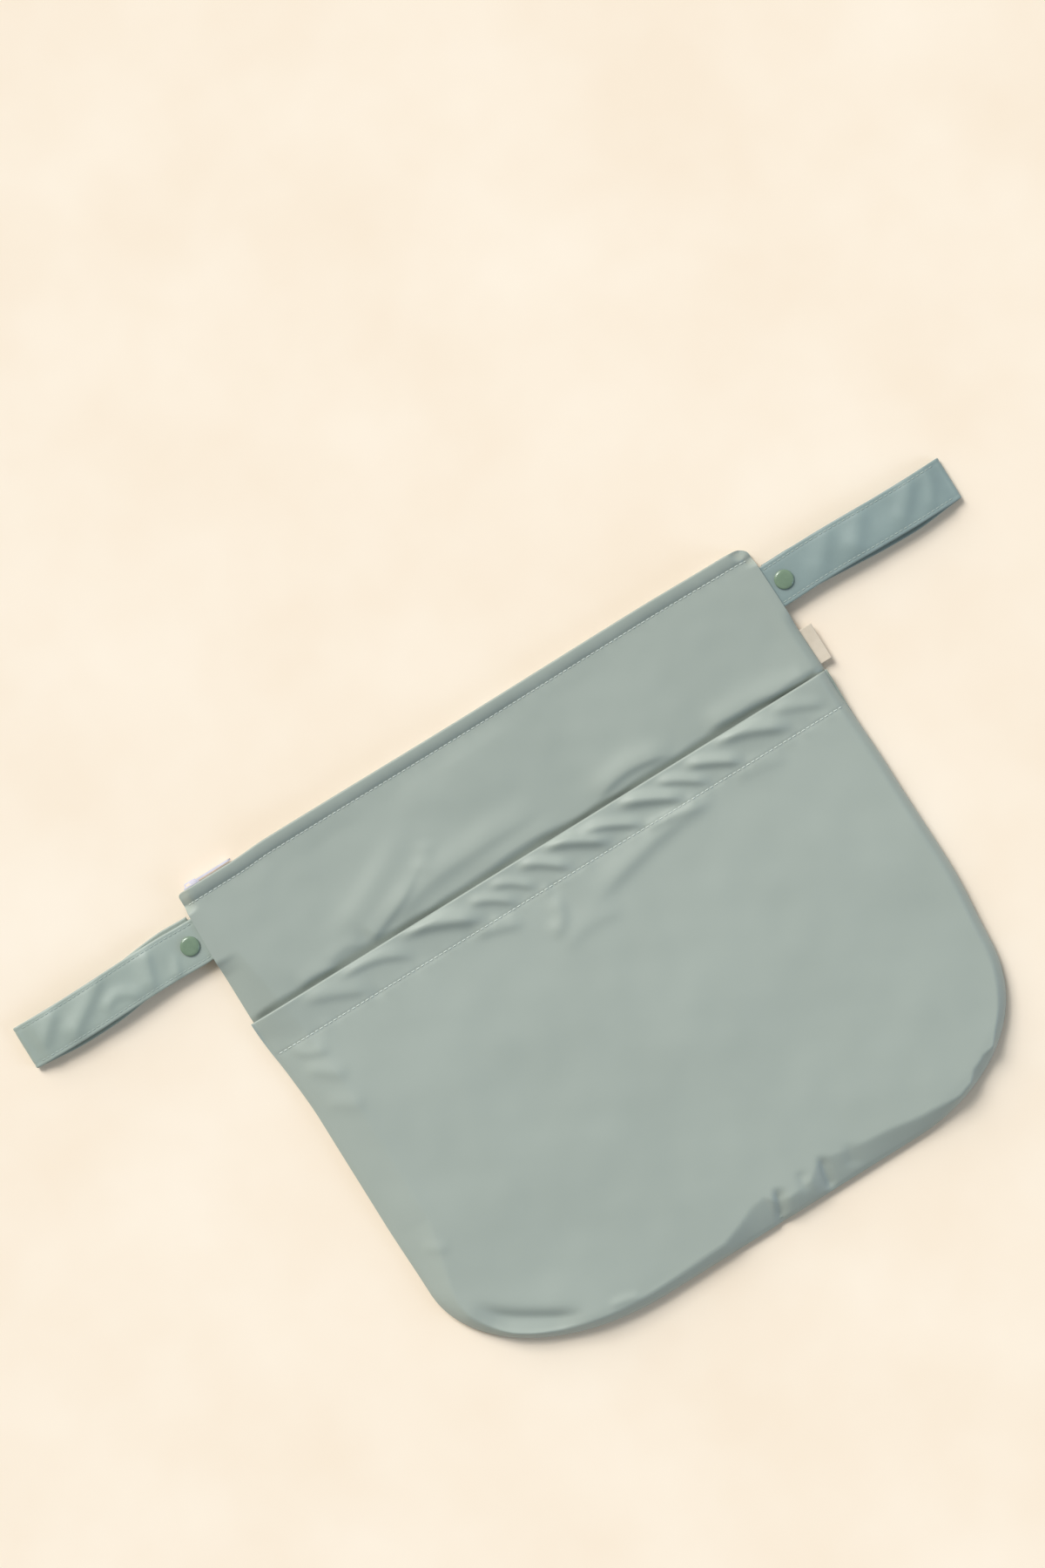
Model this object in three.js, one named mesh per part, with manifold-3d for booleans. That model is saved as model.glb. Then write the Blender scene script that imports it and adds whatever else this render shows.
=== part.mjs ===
// A zipped cloth wet bag lying flat on its back, in millimetres, +Z up.
// X runs along the mouth and the two strap loops, Y from the bottom seam to the mouth.
// Three cloth panels are sewn together at the sides and the bottom: the back, the front, and an
// outer pocket whose wide hem crosses the front. The mouth is closed by a coil zip, its slider at
// the left end. A strap loop is sewn into each side seam and closed on itself by a round snap.

import * as THREE from "three";
import * as BufferGeometryUtils from "three/addons/utils/BufferGeometryUtils.js";
import Module from "manifold-3d";

const wasm = await Module();
wasm.setup();

// The bag's outline
const bagWidth = 362.6;
const bagHeight = 321.6;
const mouthCornerRadius = 5;
const leftCornerWidth = 112; // the bottom corners are cut in wide soft quarter ellipses
const leftCornerHeight = 68;
const rightCornerWidth = 92;
const rightCornerHeight = 72;

// Cloth and clearances
const cloth = 1.0;
const hemCloth = 2.0; // cloth turned under and stitched
const clearance = 0.3;

// Heights over the surface that the bag lies on
const seamHeight = 2.0;
const cavityHeight = 10.2; // air between the back and the front
const pocketHeight = 2.4; // air between the front and the pocket
const seamReach = 15; // how far from a seam the cloth takes to puff up
const mouthReach = 45; // how far from the mouth the front takes to rise
const hemEase = 12; // below the mouth's hem, where the side seams start to shape the front
const hemEndReach = 7; // how far from a side seam the mouth's hem takes to rise
const foldEase = 20; // how far below the mouth's hem the folds reach their full height
const foldHeight = 2.6; // the strongest fold

// Hems and pocket
const mouthHem = 8.8;
const pocketDrop = 81.5; // from the mouth's edge down to the pocket's mouth
const pocketHem = 20.6;

// Strap loops
const strapWidth = 25;
const strapCloth = 1.2;
const strapReach = 112.2; // from the side seam to the fold at the strap's end
const strapDrop = 28.2; // from the mouth's edge to the middle of the strap
const strapTail = 7; // sewn into the seam
const strapArch = 1.7; // how much the upper layer rises between the snap and the fold
const foldRadius = 1.8;
const strapDrift = 1.8; // how far the lower layer lies out of line with the upper one
const strapEase = 4; // how far past a strap its seam takes to close
const foldApproach = 7; // from the end of the arch to the fold
const layerDrop = 7; // past the snap's cap, where the lower layer comes down to the surface

// Snaps
const snapOut = 7.6; // from the side seam to the snap's middle
const snapDiameter = 10.7;
const snapCapHeight = 1.4;
const snapPlateDiameter = 9.2;
const snapPlateHeight = 1.0;
const snapSocketHeight = 1.6;
const snapKnobDiameter = 4.4;
const snapPostDiameter = 3.0;
const snapGap = 0.2;
const snapChamfer = 0.4;
const snapKnobNeck = 0.3;
const snapKnobHeight = 1.0;

// Zip
const tapeWidth = 11.4;
const tapeCloth = 1.0;
const coilDepth = 2.0;
const coilHeight = 3.2;
const zipEndGap = 9; // from the side seam to the end of the tape
const sliderLength = 9.6;
const sliderWidth = 6.2;
const sliderOverhang = 4.4; // how far the slider reaches past the tapes' ends
const sliderPlate = 0.7;
const sliderCore = 3.6;
const sliderGap = 0.2; // around the pull's bar, and from the mouth's edge to the slider's plate
const coreInset = 0.4; // how much lower than the coil the slider's core is, on each side
const bridgeShare = 0.76; // the bridge's length as a share of the slider's
const bridgeWidth = 1.6;
const bridgeWire = 0.6;
const pullLength = 25;
const pullWidth = 5.6;
const pullPlate = 1.0;
const pullTaper = 0.86; // the width at the bar as a share of the full width
const windowGap = 0.4; // between the pull's arms and the bridge's sides
const windowEndGap = 0.5; // between the window's end and the bridge's foot
const slotWidth = 2.2;
const slotWeb = 2.4; // between the window and the slot
const slotTipGap = 1.0;

// Side label
const labelLength = 21.6;
const labelOut = 7;
const labelDrop = 66.4; // from the mouth's edge to the middle of the label
const labelTail = 5;
const labelCloth = 1.1;

const mouth = bagHeight / 2;
const halfWidth = bagWidth / 2;
const pocketMouth = mouth - pocketDrop;
const pocketStitch = pocketMouth - pocketHem;
const strapMiddle = mouth - strapDrop;
const labelMiddle = mouth - labelDrop;
const seamMargin = 2; // how far the seam's openings reach past what is sewn in
const strapOpening = strapWidth / 2 + seamMargin;
const labelOpening = labelLength / 2 + seamMargin;
const propEase = labelDrop - strapDrop - strapOpening - labelOpening; // from a strap to the label

const clothColour = 0xa5ada3;
const strapColour = 0x9caaa2;
const snapColour = 0x7a8b78;
const zipColour = 0xe4e0ea;
const labelColour = 0xe6ddcc;
const fabric = (colour) => new THREE.MeshStandardMaterial({ color: colour, roughness: 0.62, metalness: 0 });
const gloss = (colour) => new THREE.MeshStandardMaterial({ color: colour, roughness: 0.22, metalness: 0 });

const smooth = (share) => {
  const t = Math.min(1, Math.max(0, share));
  return t * t * (3 - 2 * t);
};
const mix = (from, to, share) => from + (to - from) * share;

// Reads a table by its first column, with a soft run from row to row
function readTable(rows, column, at) {
  if (at <= rows[0].at) return rows[0][column];
  for (let i = 1; i < rows.length; i += 1) {
    const low = rows[i - 1];
    const high = rows[i];
    if (at <= high.at) return mix(low[column], high[column], smooth((at - low.at) / (high.at - low.at)));
  }
  return rows[rows.length - 1][column];
}

// How far each side is drawn in, as a share of the bag's width; at is the share of the height
// below the mouth
const sideRows = [
  { at: 0.0, left: 0.003, right: 0.013 },
  { at: 0.16, left: 0.0, right: 0.01 },
  { at: 0.28, left: 0.0, right: 0.0075 },
  { at: 0.45, left: 0.0085, right: 0.003 },
  { at: 0.64, left: 0.009, right: 0.0 },
  { at: 0.8, left: 0.012, right: 0.009 },
  { at: 1.0, left: 0.012, right: 0.0 },
];

function sideEdge(side, y) {
  const drawnIn = bagWidth * readTable(sideRows, side < 0 ? "left" : "right", (mouth - y) / bagHeight);
  return side * (halfWidth - drawnIn);
}

// The mouth's edge dips at the zip's slider and a little in the middle, as shares of the hem
const mouthRows = [
  { at: -0.5, dip: 0.14 },
  { at: -0.41, dip: 0.14 },
  { at: -0.34, dip: 0.0 },
  { at: 0.0, dip: 0.07 },
  { at: 0.3, dip: 0.02 },
  { at: 0.45, dip: 0.1 },
  { at: 0.5, dip: 0.2 },
];
const mouthDip = (x) => mouthHem * readTable(mouthRows, "dip", x / bagWidth);

// The bottom edge rises a little from left to right
const bottomRise = (x) => 0.006 * bagHeight * smooth(x / bagWidth + 0.45);

// One side of the outline from the mouth's corner to the middle of the bottom corner
function sidePath(side) {
  const cornerWidth = side < 0 ? leftCornerWidth : rightCornerWidth;
  const cornerHeight = side < 0 ? leftCornerHeight : rightCornerHeight;
  const path = new THREE.Path();
  const r = mouthCornerRadius;
  path.moveTo(side * (halfWidth - r + r * Math.SQRT1_2), mouth - r + r * Math.SQRT1_2);
  const [from, to] = side < 0 ? [0.75 * Math.PI, Math.PI] : [0.25 * Math.PI, 0];
  path.absellipse(side * (halfWidth - r), mouth - r, r, r, from, to, side > 0);
  path.lineTo(side * halfWidth, -mouth + cornerHeight);
  const [start, end] = side < 0 ? [Math.PI, 1.25 * Math.PI] : [0, -0.25 * Math.PI];
  path.absellipse(
    side * (halfWidth - cornerWidth), -mouth + cornerHeight, cornerWidth, cornerHeight, start, end, side > 0,
  );
  return path;
}

// The bottom edge from the middle of the left corner to the middle of the right one
function bottomPath() {
  const path = new THREE.Path();
  path.absellipse(
    -halfWidth + leftCornerWidth, -mouth + leftCornerHeight,
    leftCornerWidth, leftCornerHeight, 1.25 * Math.PI, 1.5 * Math.PI, false,
  );
  path.lineTo(halfWidth - rightCornerWidth, -mouth);
  path.absellipse(
    halfWidth - rightCornerWidth, -mouth + rightCornerHeight,
    rightCornerWidth, rightCornerHeight, -0.5 * Math.PI, -0.25 * Math.PI, false,
  );
  return path;
}

// Moves a point of the plain outline in with the sides' bow and the bottom's rise
function settle(x, y) {
  const side = Math.sign(x) || 1;
  const across = Math.min(1, Math.abs(x) / halfWidth);
  const drawnIn = Math.abs(sideEdge(side, y)) / halfWidth;
  return new THREE.Vector2(x * mix(1, drawnIn, across), y + bottomRise(x) * smooth(-y / mouth));
}

const leftPath = sidePath(-1);
const rightPath = sidePath(1);
const bottom = bottomPath();

// Finds the share of a side path's length at which it passes a height
function shareAt(path, y) {
  let low = 0;
  let high = 1;
  for (let i = 0; i < 40; i += 1) {
    const middle = (low + high) / 2;
    if (path.getPoint(middle).y > y) low = middle;
    else high = middle;
  }
  return (low + high) / 2;
}

// Distances from an edge at which the grid has a line: close together where the cloth rises
const edgeLines = [0, 3.5, 8, 14, 22, 33];
const gridStep = 19;

function linesBetween(from, to) {
  const count = Math.max(1, Math.round(Math.abs(to - from) / gridStep));
  return Array.from({ length: count }, (unused, i) => mix(from, to, (i + 1) / count));
}

// Columns as shares of the width, rows as heights on the sides down to the pocket's stitch line
// and then as shares of the way to the bottom corner
const columnShares = [
  ...edgeLines.map((d) => d / bagWidth),
  ...linesBetween(edgeLines.at(-1), bagWidth - edgeLines.at(-1)).map((d) => d / bagWidth),
  ...edgeLines.slice(0, -1).reverse().map((d) => 1 - d / bagWidth),
];
const rowHeights = [
  mouth - mouthCornerRadius * (1 - Math.SQRT1_2),
  mouth - mouthHem * 0.55,
  mouth - mouthHem,
  strapMiddle + strapOpening,
  strapMiddle + strapOpening / 2,
  strapMiddle,
  strapMiddle - strapOpening / 2,
  strapMiddle - strapOpening,
  labelMiddle + labelOpening,
  labelMiddle,
  labelMiddle - labelOpening,
  pocketMouth,
  pocketMouth - pocketHem * 0.3,
  pocketMouth - pocketHem * 0.65,
  pocketMouth - pocketHem * 0.9,
  pocketStitch,
];
const pocketRow = rowHeights.indexOf(pocketMouth);
const hemRow = rowHeights.indexOf(mouth - mouthHem);
const hemShares = [0.75, 1.1, 0.6]; // of the hem's cloth, at its fold, its middle and its stitches
const stitchRow = rowHeights.length - 1;
const lowerLength = pocketStitch + mouth - leftCornerHeight / 2;
const lowerShares = [
  ...linesBetween(0, lowerLength - edgeLines.at(-1)).map((d) => d / lowerLength),
  ...edgeLines.slice(0, -1).reverse().map((d) => 1 - d / lowerLength),
];
const rowCount = rowHeights.length + lowerShares.length;

function sidePoint(path, row) {
  if (row < rowHeights.length) return path.getPoint(shareAt(path, rowHeights[row]));
  const stitchShare = shareAt(path, pocketStitch);
  return path.getPoint(mix(stitchShare, 1, lowerShares[row - rowHeights.length]));
}

// The plan of the bag as a grid of points: straight rows down to the pocket's stitch line, then
// rows that bend to follow the bottom edge
const plan = [];
const bottomLeft = bottom.getPoint(0);
const bottomRight = bottom.getPoint(1);
for (let row = 0; row < rowCount; row += 1) {
  const left = sidePoint(leftPath, row);
  const right = sidePoint(rightPath, row);
  const bend = row > stitchRow ? lowerShares[row - rowHeights.length] ** 2 : 0;
  const raise = row === 0 ? mouth - rowHeights[0] : 0;
  plan.push(columnShares.map((share) => {
    const edge = bottom.getPoint(share);
    const x = mix(left.x, right.x, share) + bend * (edge.x - mix(bottomLeft.x, bottomRight.x, share));
    const y = mix(left.y, right.y, share) + bend * (edge.y - mix(bottomLeft.y, bottomRight.y, share));
    const inside = share > 0 && share < 1;
    const dip = mouthDip(x) * smooth(1 - (mouth - y) / mouthHem);
    return settle(x, y + (inside ? raise : 0) - dip);
  }));
}

// The seamed edge: down the left side, along the bottom and up the right side
const seamLine = [
  ...plan.map((row) => row[0]),
  ...plan[rowCount - 1].slice(1, -1),
  ...plan.map((row) => row[row.length - 1]).reverse(),
];

function seamDistance(x, y) {
  let nearest = Infinity;
  for (let i = 1; i < seamLine.length; i += 1) {
    const a = seamLine[i - 1];
    const b = seamLine[i];
    const span = (b.x - a.x) ** 2 + (b.y - a.y) ** 2;
    const along = Math.min(1, Math.max(0, ((x - a.x) * (b.x - a.x) + (y - a.y) * (b.y - a.y)) / span));
    nearest = Math.min(nearest, Math.hypot(x - mix(a.x, b.x, along), y - mix(a.y, b.y, along)));
  }
  return nearest;
}

// Where a strap or the label is sewn in, the seam opens for it, and the snap props the seam up
const nearStrap = (y, ease) => smooth((strapOpening + ease - Math.abs(y - strapMiddle)) / ease);
const nearLabel = (y) => smooth((labelOpening + seamMargin - Math.abs(y - labelMiddle)) / seamMargin);
const betweenThem = (y) => (y < strapMiddle && y > labelMiddle ? 1 : 0);

// Heights of the strap's layers and of the snap's parts; the layers are given at their middles
const lowerLayer = snapCapHeight + snapGap + strapCloth / 2;
const studFloor = snapCapHeight + 2 * snapGap + strapCloth;
const socketFloor = studFloor + snapPlateHeight + 2 * snapGap;
const upperLayer = socketFloor + snapSocketHeight + snapGap + strapCloth / 2;
const strapAtSeam = upperLayer - clearance;
const propHeight = strapAtSeam - strapCloth / 2 - clearance - cloth - seamHeight;

function seamLevel(y) {
  const upper = smooth((mouth - mouthHem - y) / (strapDrop - mouthHem - strapOpening));
  return (seamHeight + propHeight * nearStrap(y, propEase)) * upper;
}

function seamOpening(x, y) {
  const atLabel = x > 0 ? Math.max(nearLabel(y), betweenThem(y)) : 0;
  const atStrap = nearStrap(y, strapEase);
  return Math.max(strapCloth * atStrap, labelCloth * atLabel) + clearance * Math.max(atStrap, atLabel);
}

const puff = (distance) => 1 - Math.exp(-distance / seamReach);

// Folds and dents of the front, over the whole bag. x and y are shares of the bag's width and
// height from its middle, long and wide are shares of its width, turn is the angle from +X in
// degrees, and high is the share of the strongest fold, below zero for a dent.
const folds = [
  { x: -0.222, y: 0.283, long: 0.17, wide: 0.022, turn: 31, high: -0.9 },
  { x: -0.235, y: 0.322, long: 0.3, wide: 0.035, turn: 42, high: 0.6 },
  { x: -0.14, y: 0.3, long: 0.26, wide: 0.035, turn: 15, high: 0.55 },
  { x: -0.37, y: 0.28, long: 0.09, wide: 0.03, turn: 0, high: -0.5 },
  { x: -0.05, y: 0.275, long: 0.14, wide: 0.025, turn: 8, high: -0.4 },
  { x: 0.173, y: 0.268, long: 0.16, wide: 0.03, turn: -6, high: -0.85 },
  { x: 0.4, y: 0.262, long: 0.2, wide: 0.045, turn: -6, high: -0.7 },
  { x: -0.03, y: 0.125, long: 0.1, wide: 0.03, turn: 70, high: 0.4 },
  { x: 0.05, y: 0.115, long: 0.12, wide: 0.03, turn: 30, high: -0.4 },
  { x: 0.185, y: 0.16, long: 0.14, wide: 0.03, turn: -12, high: -0.4 },
  { x: -0.385, y: -0.392, long: 0.2, wide: 0.028, turn: -40, high: -0.8 },
  { x: -0.02, y: -0.45, long: 0.13, wide: 0.03, turn: 20, high: -0.8 },
  { x: 0.05, y: -0.43, long: 0.12, wide: 0.03, turn: 50, high: 0.7 },
  { x: 0.1, y: -0.452, long: 0.12, wide: 0.022, turn: -42, high: -0.7 },
  { x: 0.24, y: -0.445, long: 0.22, wide: 0.03, turn: -10, high: -0.6 },
  { x: 0.375, y: -0.43, long: 0.12, wide: 0.03, turn: 45, high: 0.5 },
];

function foldsAt(x, y, rows) {
  return rows.reduce((sum, fold) => {
    const dx = x - fold.x * bagWidth;
    const dy = y - fold.y * bagHeight;
    const turn = THREE.MathUtils.degToRad(fold.turn);
    const along = (dx * Math.cos(turn) + dy * Math.sin(turn)) / (fold.long * bagWidth / 2);
    const across = (dy * Math.cos(turn) - dx * Math.sin(turn)) / (fold.wide * bagWidth);
    return sum + fold.high * foldHeight * smooth(1 - Math.abs(along)) * Math.exp(-across * across);
  }, 0);
}

// The pocket's hem is drawn up in slanting puckers, a little closer together to the right
const puckerRows = [
  { x: -0.355, high: 0.35 },
  { x: -0.26, high: 0.4 },
  { x: -0.175, high: 0.5 },
  { x: -0.095, high: 0.35 },
  { x: -0.01, high: 0.5 },
  { x: 0.048, high: 0.6 },
  { x: 0.108, high: 0.6 },
  { x: 0.17, high: 0.65 },
  { x: 0.228, high: 0.6 },
  { x: 0.28, high: 0.6 },
  { x: 0.347, high: 0.65 },
  { x: 0.42, high: 0.4 },
];
const puckers = puckerRows.map((row) => ({
  ...row,
  y: (pocketMouth - pocketHem / 2) / bagHeight,
  long: pocketHem * 1.8 / bagWidth,
  wide: 0.016,
  turn: -30,
}));

// Heights of the panels' undersides and their cloth at a point of the plan
function panelHeights(x, y, row) {
  const distance = seamDistance(x, y);
  const level = seamLevel(y);
  const backLow = level * (1 - Math.min(1, distance / seamReach)) ** 2;
  const backCloth = row < hemRow ? hemCloth : mix(hemCloth, cloth, smooth((row - hemRow + 1) / 2));
  const frontEdge = level + (row <= hemRow ? backCloth : cloth) + clearance + seamOpening(x, y);
  const mouthLevel = hemCloth + 2 * clearance + coilHeight;
  const inner = Math.max(frontEdge, mix(mouthLevel, cloth + cavityHeight, smooth((mouth - y) / mouthReach)));
  const belowHem = mouth - y - mouthHem;
  const rise = mix(smooth(distance / hemEndReach), puff(distance), smooth(belowHem / hemEase));
  const calm = smooth(distance / seamReach) * smooth(belowHem / foldEase);
  const frontLow = frontEdge + (inner - frontEdge) * rise + foldsAt(x, y, folds) * calm;
  const frontCloth = row <= hemRow ? hemCloth * hemShares[row] : cloth;
  const gape = mix(0.35, 1, smooth((pocketMouth - y) / (pocketHem * 2)));
  const pocketLow = frontLow + frontCloth + clearance + pocketHeight * puff(distance) * gape
    + foldsAt(x, y, puckers) * smooth(distance / seamReach) * (row > pocketRow ? 1 : 0.5);
  const pocketCloth = row < stitchRow ? hemCloth : cloth;
  return { backLow, backCloth, frontLow, frontCloth, pocketLow, pocketCloth };
}

// A closed wall between two grids of points, the upper one seen from above and the lower one from
// below. Rows run down the page and columns to the right.
function wallBetween(upper, lower) {
  const rows = upper.length;
  const columns = upper[0].length;
  const positions = [...upper.flat(), ...lower.flat()].flatMap((p) => [p.x, p.y, p.z]);
  const top = (row, column) => row * columns + column;
  const under = rows * columns;
  const index = [];
  for (let row = 0; row < rows - 1; row += 1) {
    for (let column = 0; column < columns - 1; column += 1) {
      const a = top(row, column);
      const b = top(row, column + 1);
      const d = top(row + 1, column);
      const e = top(row + 1, column + 1);
      const split = column < (columns - 1) / 2 ? [[a, d, b], [d, e, b]] : [[a, d, e], [a, e, b]];
      split.forEach(([p, q, r]) => index.push(p, q, r, under + p, under + r, under + q));
    }
  }
  const loop = [];
  for (let row = 0; row < rows - 1; row += 1) loop.push(top(row, 0));
  for (let column = 0; column < columns - 1; column += 1) loop.push(top(rows - 1, column));
  for (let row = rows - 1; row > 0; row -= 1) loop.push(top(row, columns - 1));
  for (let column = columns - 1; column > 0; column -= 1) loop.push(top(0, column));
  loop.forEach((p, i) => {
    const q = loop[(i + 1) % loop.length];
    index.push(q, p, under + p, q, under + p, under + q);
  });
  const geometry = new THREE.BufferGeometry();
  geometry.setAttribute("position", new THREE.Float32BufferAttribute(positions, 3));
  geometry.setIndex(index);
  geometry.computeVertexNormals();
  return geometry;
}

// A panel takes the plan's grid from a first row down. A coarse one leaves out every second
// column, and every second row below the hems and the seams' openings.
function panel(layer, firstRow, coarse) {
  const columns = columnShares.map((unused, column) => column);
  const rows = plan.map((unused, row) => row).filter((row) => row >= firstRow);
  const kept = (list, from) => list.filter((i, place) => (
    !coarse || i <= from || place === list.length - 1 || (i - from) % 2 === 0
  ));
  const keptColumns = kept(columns, 0);
  const upper = [];
  const lower = [];
  kept(rows, stitchRow).forEach((row) => {
    const points = keptColumns.map((column) => plan[row][column]);
    const heights = points.map((p) => panelHeights(p.x, p.y, row));
    const at = (p, z) => new THREE.Vector3(p.x, p.y, z);
    lower.push(points.map((p, i) => at(p, heights[i][`${layer}Low`])));
    upper.push(points.map((p, i) => at(p, heights[i][`${layer}Low`] + heights[i][`${layer}Cloth`])));
  });
  return wallBetween(upper, lower);
}

// A band of cloth along a line of { out, z } points, with an even wall and a number of columns
// across. place turns out, across and z into the bag's frame.
function band(line, width, wall, columns, place) {
  const upper = [];
  const lower = [];
  const across = Array.from({ length: columns }, (unused, c) => width * (c / (columns - 1) - 0.5));
  line.forEach((p, i) => {
    const before = line[Math.max(0, i - 1)];
    const after = line[Math.min(line.length - 1, i + 1)];
    const length = Math.hypot(after.out - before.out, after.z - before.z);
    const half = (p.wall ?? wall) / 2;
    const out = -(after.z - before.z) / length * half;
    const rise = (after.out - before.out) / length * half;
    const at = (sign) => across.map((y) => place(p.out + sign * out, y, p.z + sign * rise));
    upper.push(at(1));
    lower.push(at(-1));
  });
  return { upper, lower };
}

function toSolid(geometry) {
  const bare = geometry.clone();
  bare.deleteAttribute("normal");
  bare.deleteAttribute("uv");
  const merged = BufferGeometryUtils.mergeVertices(bare, 1e-4);
  return new wasm.Manifold(new wasm.Mesh({
    numProp: 3,
    vertProperties: new Float32Array(merged.attributes.position.array),
    triVerts: new Uint32Array(merged.index.array),
  }));
}

function fromSolid(solid) {
  const mesh = solid.getMesh();
  const geometry = new THREE.BufferGeometry();
  geometry.setAttribute("position", new THREE.BufferAttribute(new Float32Array(mesh.vertProperties), 3));
  geometry.setIndex(new THREE.BufferAttribute(new Uint32Array(mesh.triVerts), 1));
  geometry.computeVertexNormals();
  return geometry;
}

const bag = new THREE.Group();

function add(name, geometry, material, position = [0, 0, 0]) {
  const mesh = new THREE.Mesh(geometry, material);
  mesh.name = name;
  mesh.position.set(...position);
  bag.add(mesh);
  return mesh;
}

// The strap's middle line, from its tail in the seam out along the top, round the fold and back
// along the bottom to its free end under the snap
function strapLine() {
  const lowest = strapCloth / 2;
  const foldOut = strapReach - strapCloth / 2 - foldRadius;
  const capEdge = snapOut + snapDiameter / 2;
  const capStart = snapOut - snapDiameter / 2;
  const underCap = [capStart, snapOut - snapPostDiameter, snapOut + snapPostDiameter];
  const line = [-strapTail, -strapTail / 2, 0].map((out) => ({ out, z: strapAtSeam }));
  underCap.forEach((out) => line.push({ out, z: upperLayer }));
  const arching = 11;
  for (let i = 0; i <= arching; i += 1) {
    const share = i / arching;
    const rise = strapArch * Math.sin(Math.PI * share);
    line.push({ out: mix(capEdge, foldOut - foldApproach, share), z: upperLayer + rise });
  }
  const drop = upperLayer - (lowest + 2 * foldRadius);
  line.push({ out: foldOut - foldApproach * 0.43, z: upperLayer - drop * 0.55 });
  const turns = 8;
  for (let i = 0; i <= turns; i += 1) {
    const angle = Math.PI * (0.5 - i / turns);
    line.push({
      out: foldOut + foldRadius * Math.cos(angle),
      z: lowest + foldRadius + foldRadius * Math.sin(angle),
    });
  }
  const back = 8;
  for (let i = 1; i <= back; i += 1) {
    line.push({ out: mix(foldOut, capEdge + layerDrop, i / back), z: lowest });
  }
  line.push({ out: capEdge + layerDrop / 2, z: mix(lowest, lowerLayer, 0.5) });
  [capEdge, ...underCap.reverse()].forEach((out) => line.push({ out, z: lowerLayer }));
  return line;
}

function strap(side) {
  const seam = sideEdge(side, strapMiddle);
  const line = strapLine();
  const drifting = (out, z) => {
    if (z > (lowerLayer + upperLayer) / 2) return 0;
    const fromSnap = (out - snapOut) / (strapReach * 0.4);
    const fromFold = (strapReach - out) / (strapReach * 0.11);
    return -strapDrift * smooth(fromSnap) * smooth(fromFold);
  };
  const place = (out, across, z) => new THREE.Vector3(
    seam + side * out, strapMiddle + across + drifting(out, z), z,
  );
  const columns = 5;
  const { upper, lower } = band(line, side < 0 ? strapWidth : -strapWidth, strapCloth, columns, place);
  const holes = new THREE.CylinderGeometry(
    snapPostDiameter / 2 + clearance, snapPostDiameter / 2 + clearance, upperLayer * 2, 16,
  );
  holes.rotateX(Math.PI / 2);
  holes.translate(seam + side * snapOut, strapMiddle, upperLayer);
  return fromSolid(toSolid(wallBetween(lower, upper)).subtract(toSolid(holes)));
}

// Turned parts of the snap: a profile of [radius, height] points from the axis out and back
function turned(profile) {
  const geometry = new THREE.LatheGeometry(profile.map(([r, h]) => new THREE.Vector2(r, h)), 14);
  geometry.rotateX(Math.PI / 2);
  return geometry;
}

function snapCap(postLength) {
  const r = snapDiameter / 2;
  const post = snapPostDiameter / 2;
  const h = snapCapHeight;
  return turned([
    [0, -postLength], [post, -postLength], [post, 0], [r * 0.94, 0], [r, h * 0.3],
    [r * 0.97, h * 0.72], [r * 0.82, h * 0.95], [r * 0.4, h], [0, h],
  ]);
}

function snapStud() {
  const plate = snapPlateDiameter / 2;
  const knob = snapKnobDiameter / 2;
  const bore = snapPostDiameter / 2 + clearance;
  const rim = snapPlateHeight * 0.8;
  const tip = snapPlateHeight + snapKnobHeight;
  return turned([
    [0, rim], [bore, rim], [bore, 0], [plate, 0], [plate, rim], [plate - snapChamfer, snapPlateHeight],
    [knob - snapKnobNeck, snapPlateHeight], [knob, snapPlateHeight + snapKnobHeight * 0.6],
    [knob - snapChamfer, tip], [0, tip],
  ]);
}

function snapSocket() {
  const plate = snapPlateDiameter / 2;
  const bore = snapPostDiameter / 2 + clearance;
  const cup = snapKnobDiameter / 2 + clearance;
  const cupRoof = snapSocketHeight * 0.5;
  return turned([
    [cup, 0], [plate - snapChamfer, 0], [plate, snapChamfer], [plate, snapSocketHeight],
    [bore, snapSocketHeight], [bore, cupRoof], [cup, cupRoof], [cup, 0],
  ]);
}

function addStrapAndSnap(side, name) {
  add(`strap_${name}`, strap(side), fabric(strapColour));
  const x = sideEdge(side, strapMiddle) + side * snapOut;
  const y = strapMiddle;
  const green = gloss(snapColour);
  const topOfStrap = upperLayer + strapCloth / 2 + snapGap;
  const underPost = strapCloth + 2 * snapGap + snapPlateHeight * 0.6;
  const topPost = strapCloth + 2 * snapGap + snapSocketHeight * 0.35;
  add(`snap_cap_${name}`, snapCap(topPost), green, [x, y, topOfStrap]);
  add(`snap_socket_${name}`, snapSocket(), green, [x, y, socketFloor]);
  add(`snap_stud_${name}`, snapStud(), green, [x, y, studFloor]);
  const underCap = add(`snap_undercap_${name}`, snapCap(underPost), green, [x, y, snapCapHeight]);
  underCap.rotation.x = Math.PI;
}

// The closed zip lies in the mouth between the back's hem and the front's
const zipStart = sideEdge(-1, mouth) + zipEndGap;
const zipEnd = sideEdge(1, mouth) - zipEndGap;
const zipEdge = mouth - mouthDip(zipStart); // the mouth's edge at the slider
const zipFloor = hemCloth + clearance;
const zipMiddle = zipFloor + coilHeight / 2;
const coilBack = zipEdge - clearance - coilDepth;

function zipTape(z) {
  const steps = 12;
  const rows = [0, 0.5, 1].map((share) => coilBack - clearance - share * tapeWidth);
  const grid = (height) => rows.map((y) => Array.from(
    { length: steps + 1 }, (unused, i) => new THREE.Vector3(mix(zipStart, zipEnd, i / steps), y, height),
  ));
  return wallBetween(grid(z + tapeCloth), grid(z));
}

// The coil is one plain rod of oval section that starts at the slider's core
const coilStart = zipStart + sliderCore + clearance;

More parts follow.
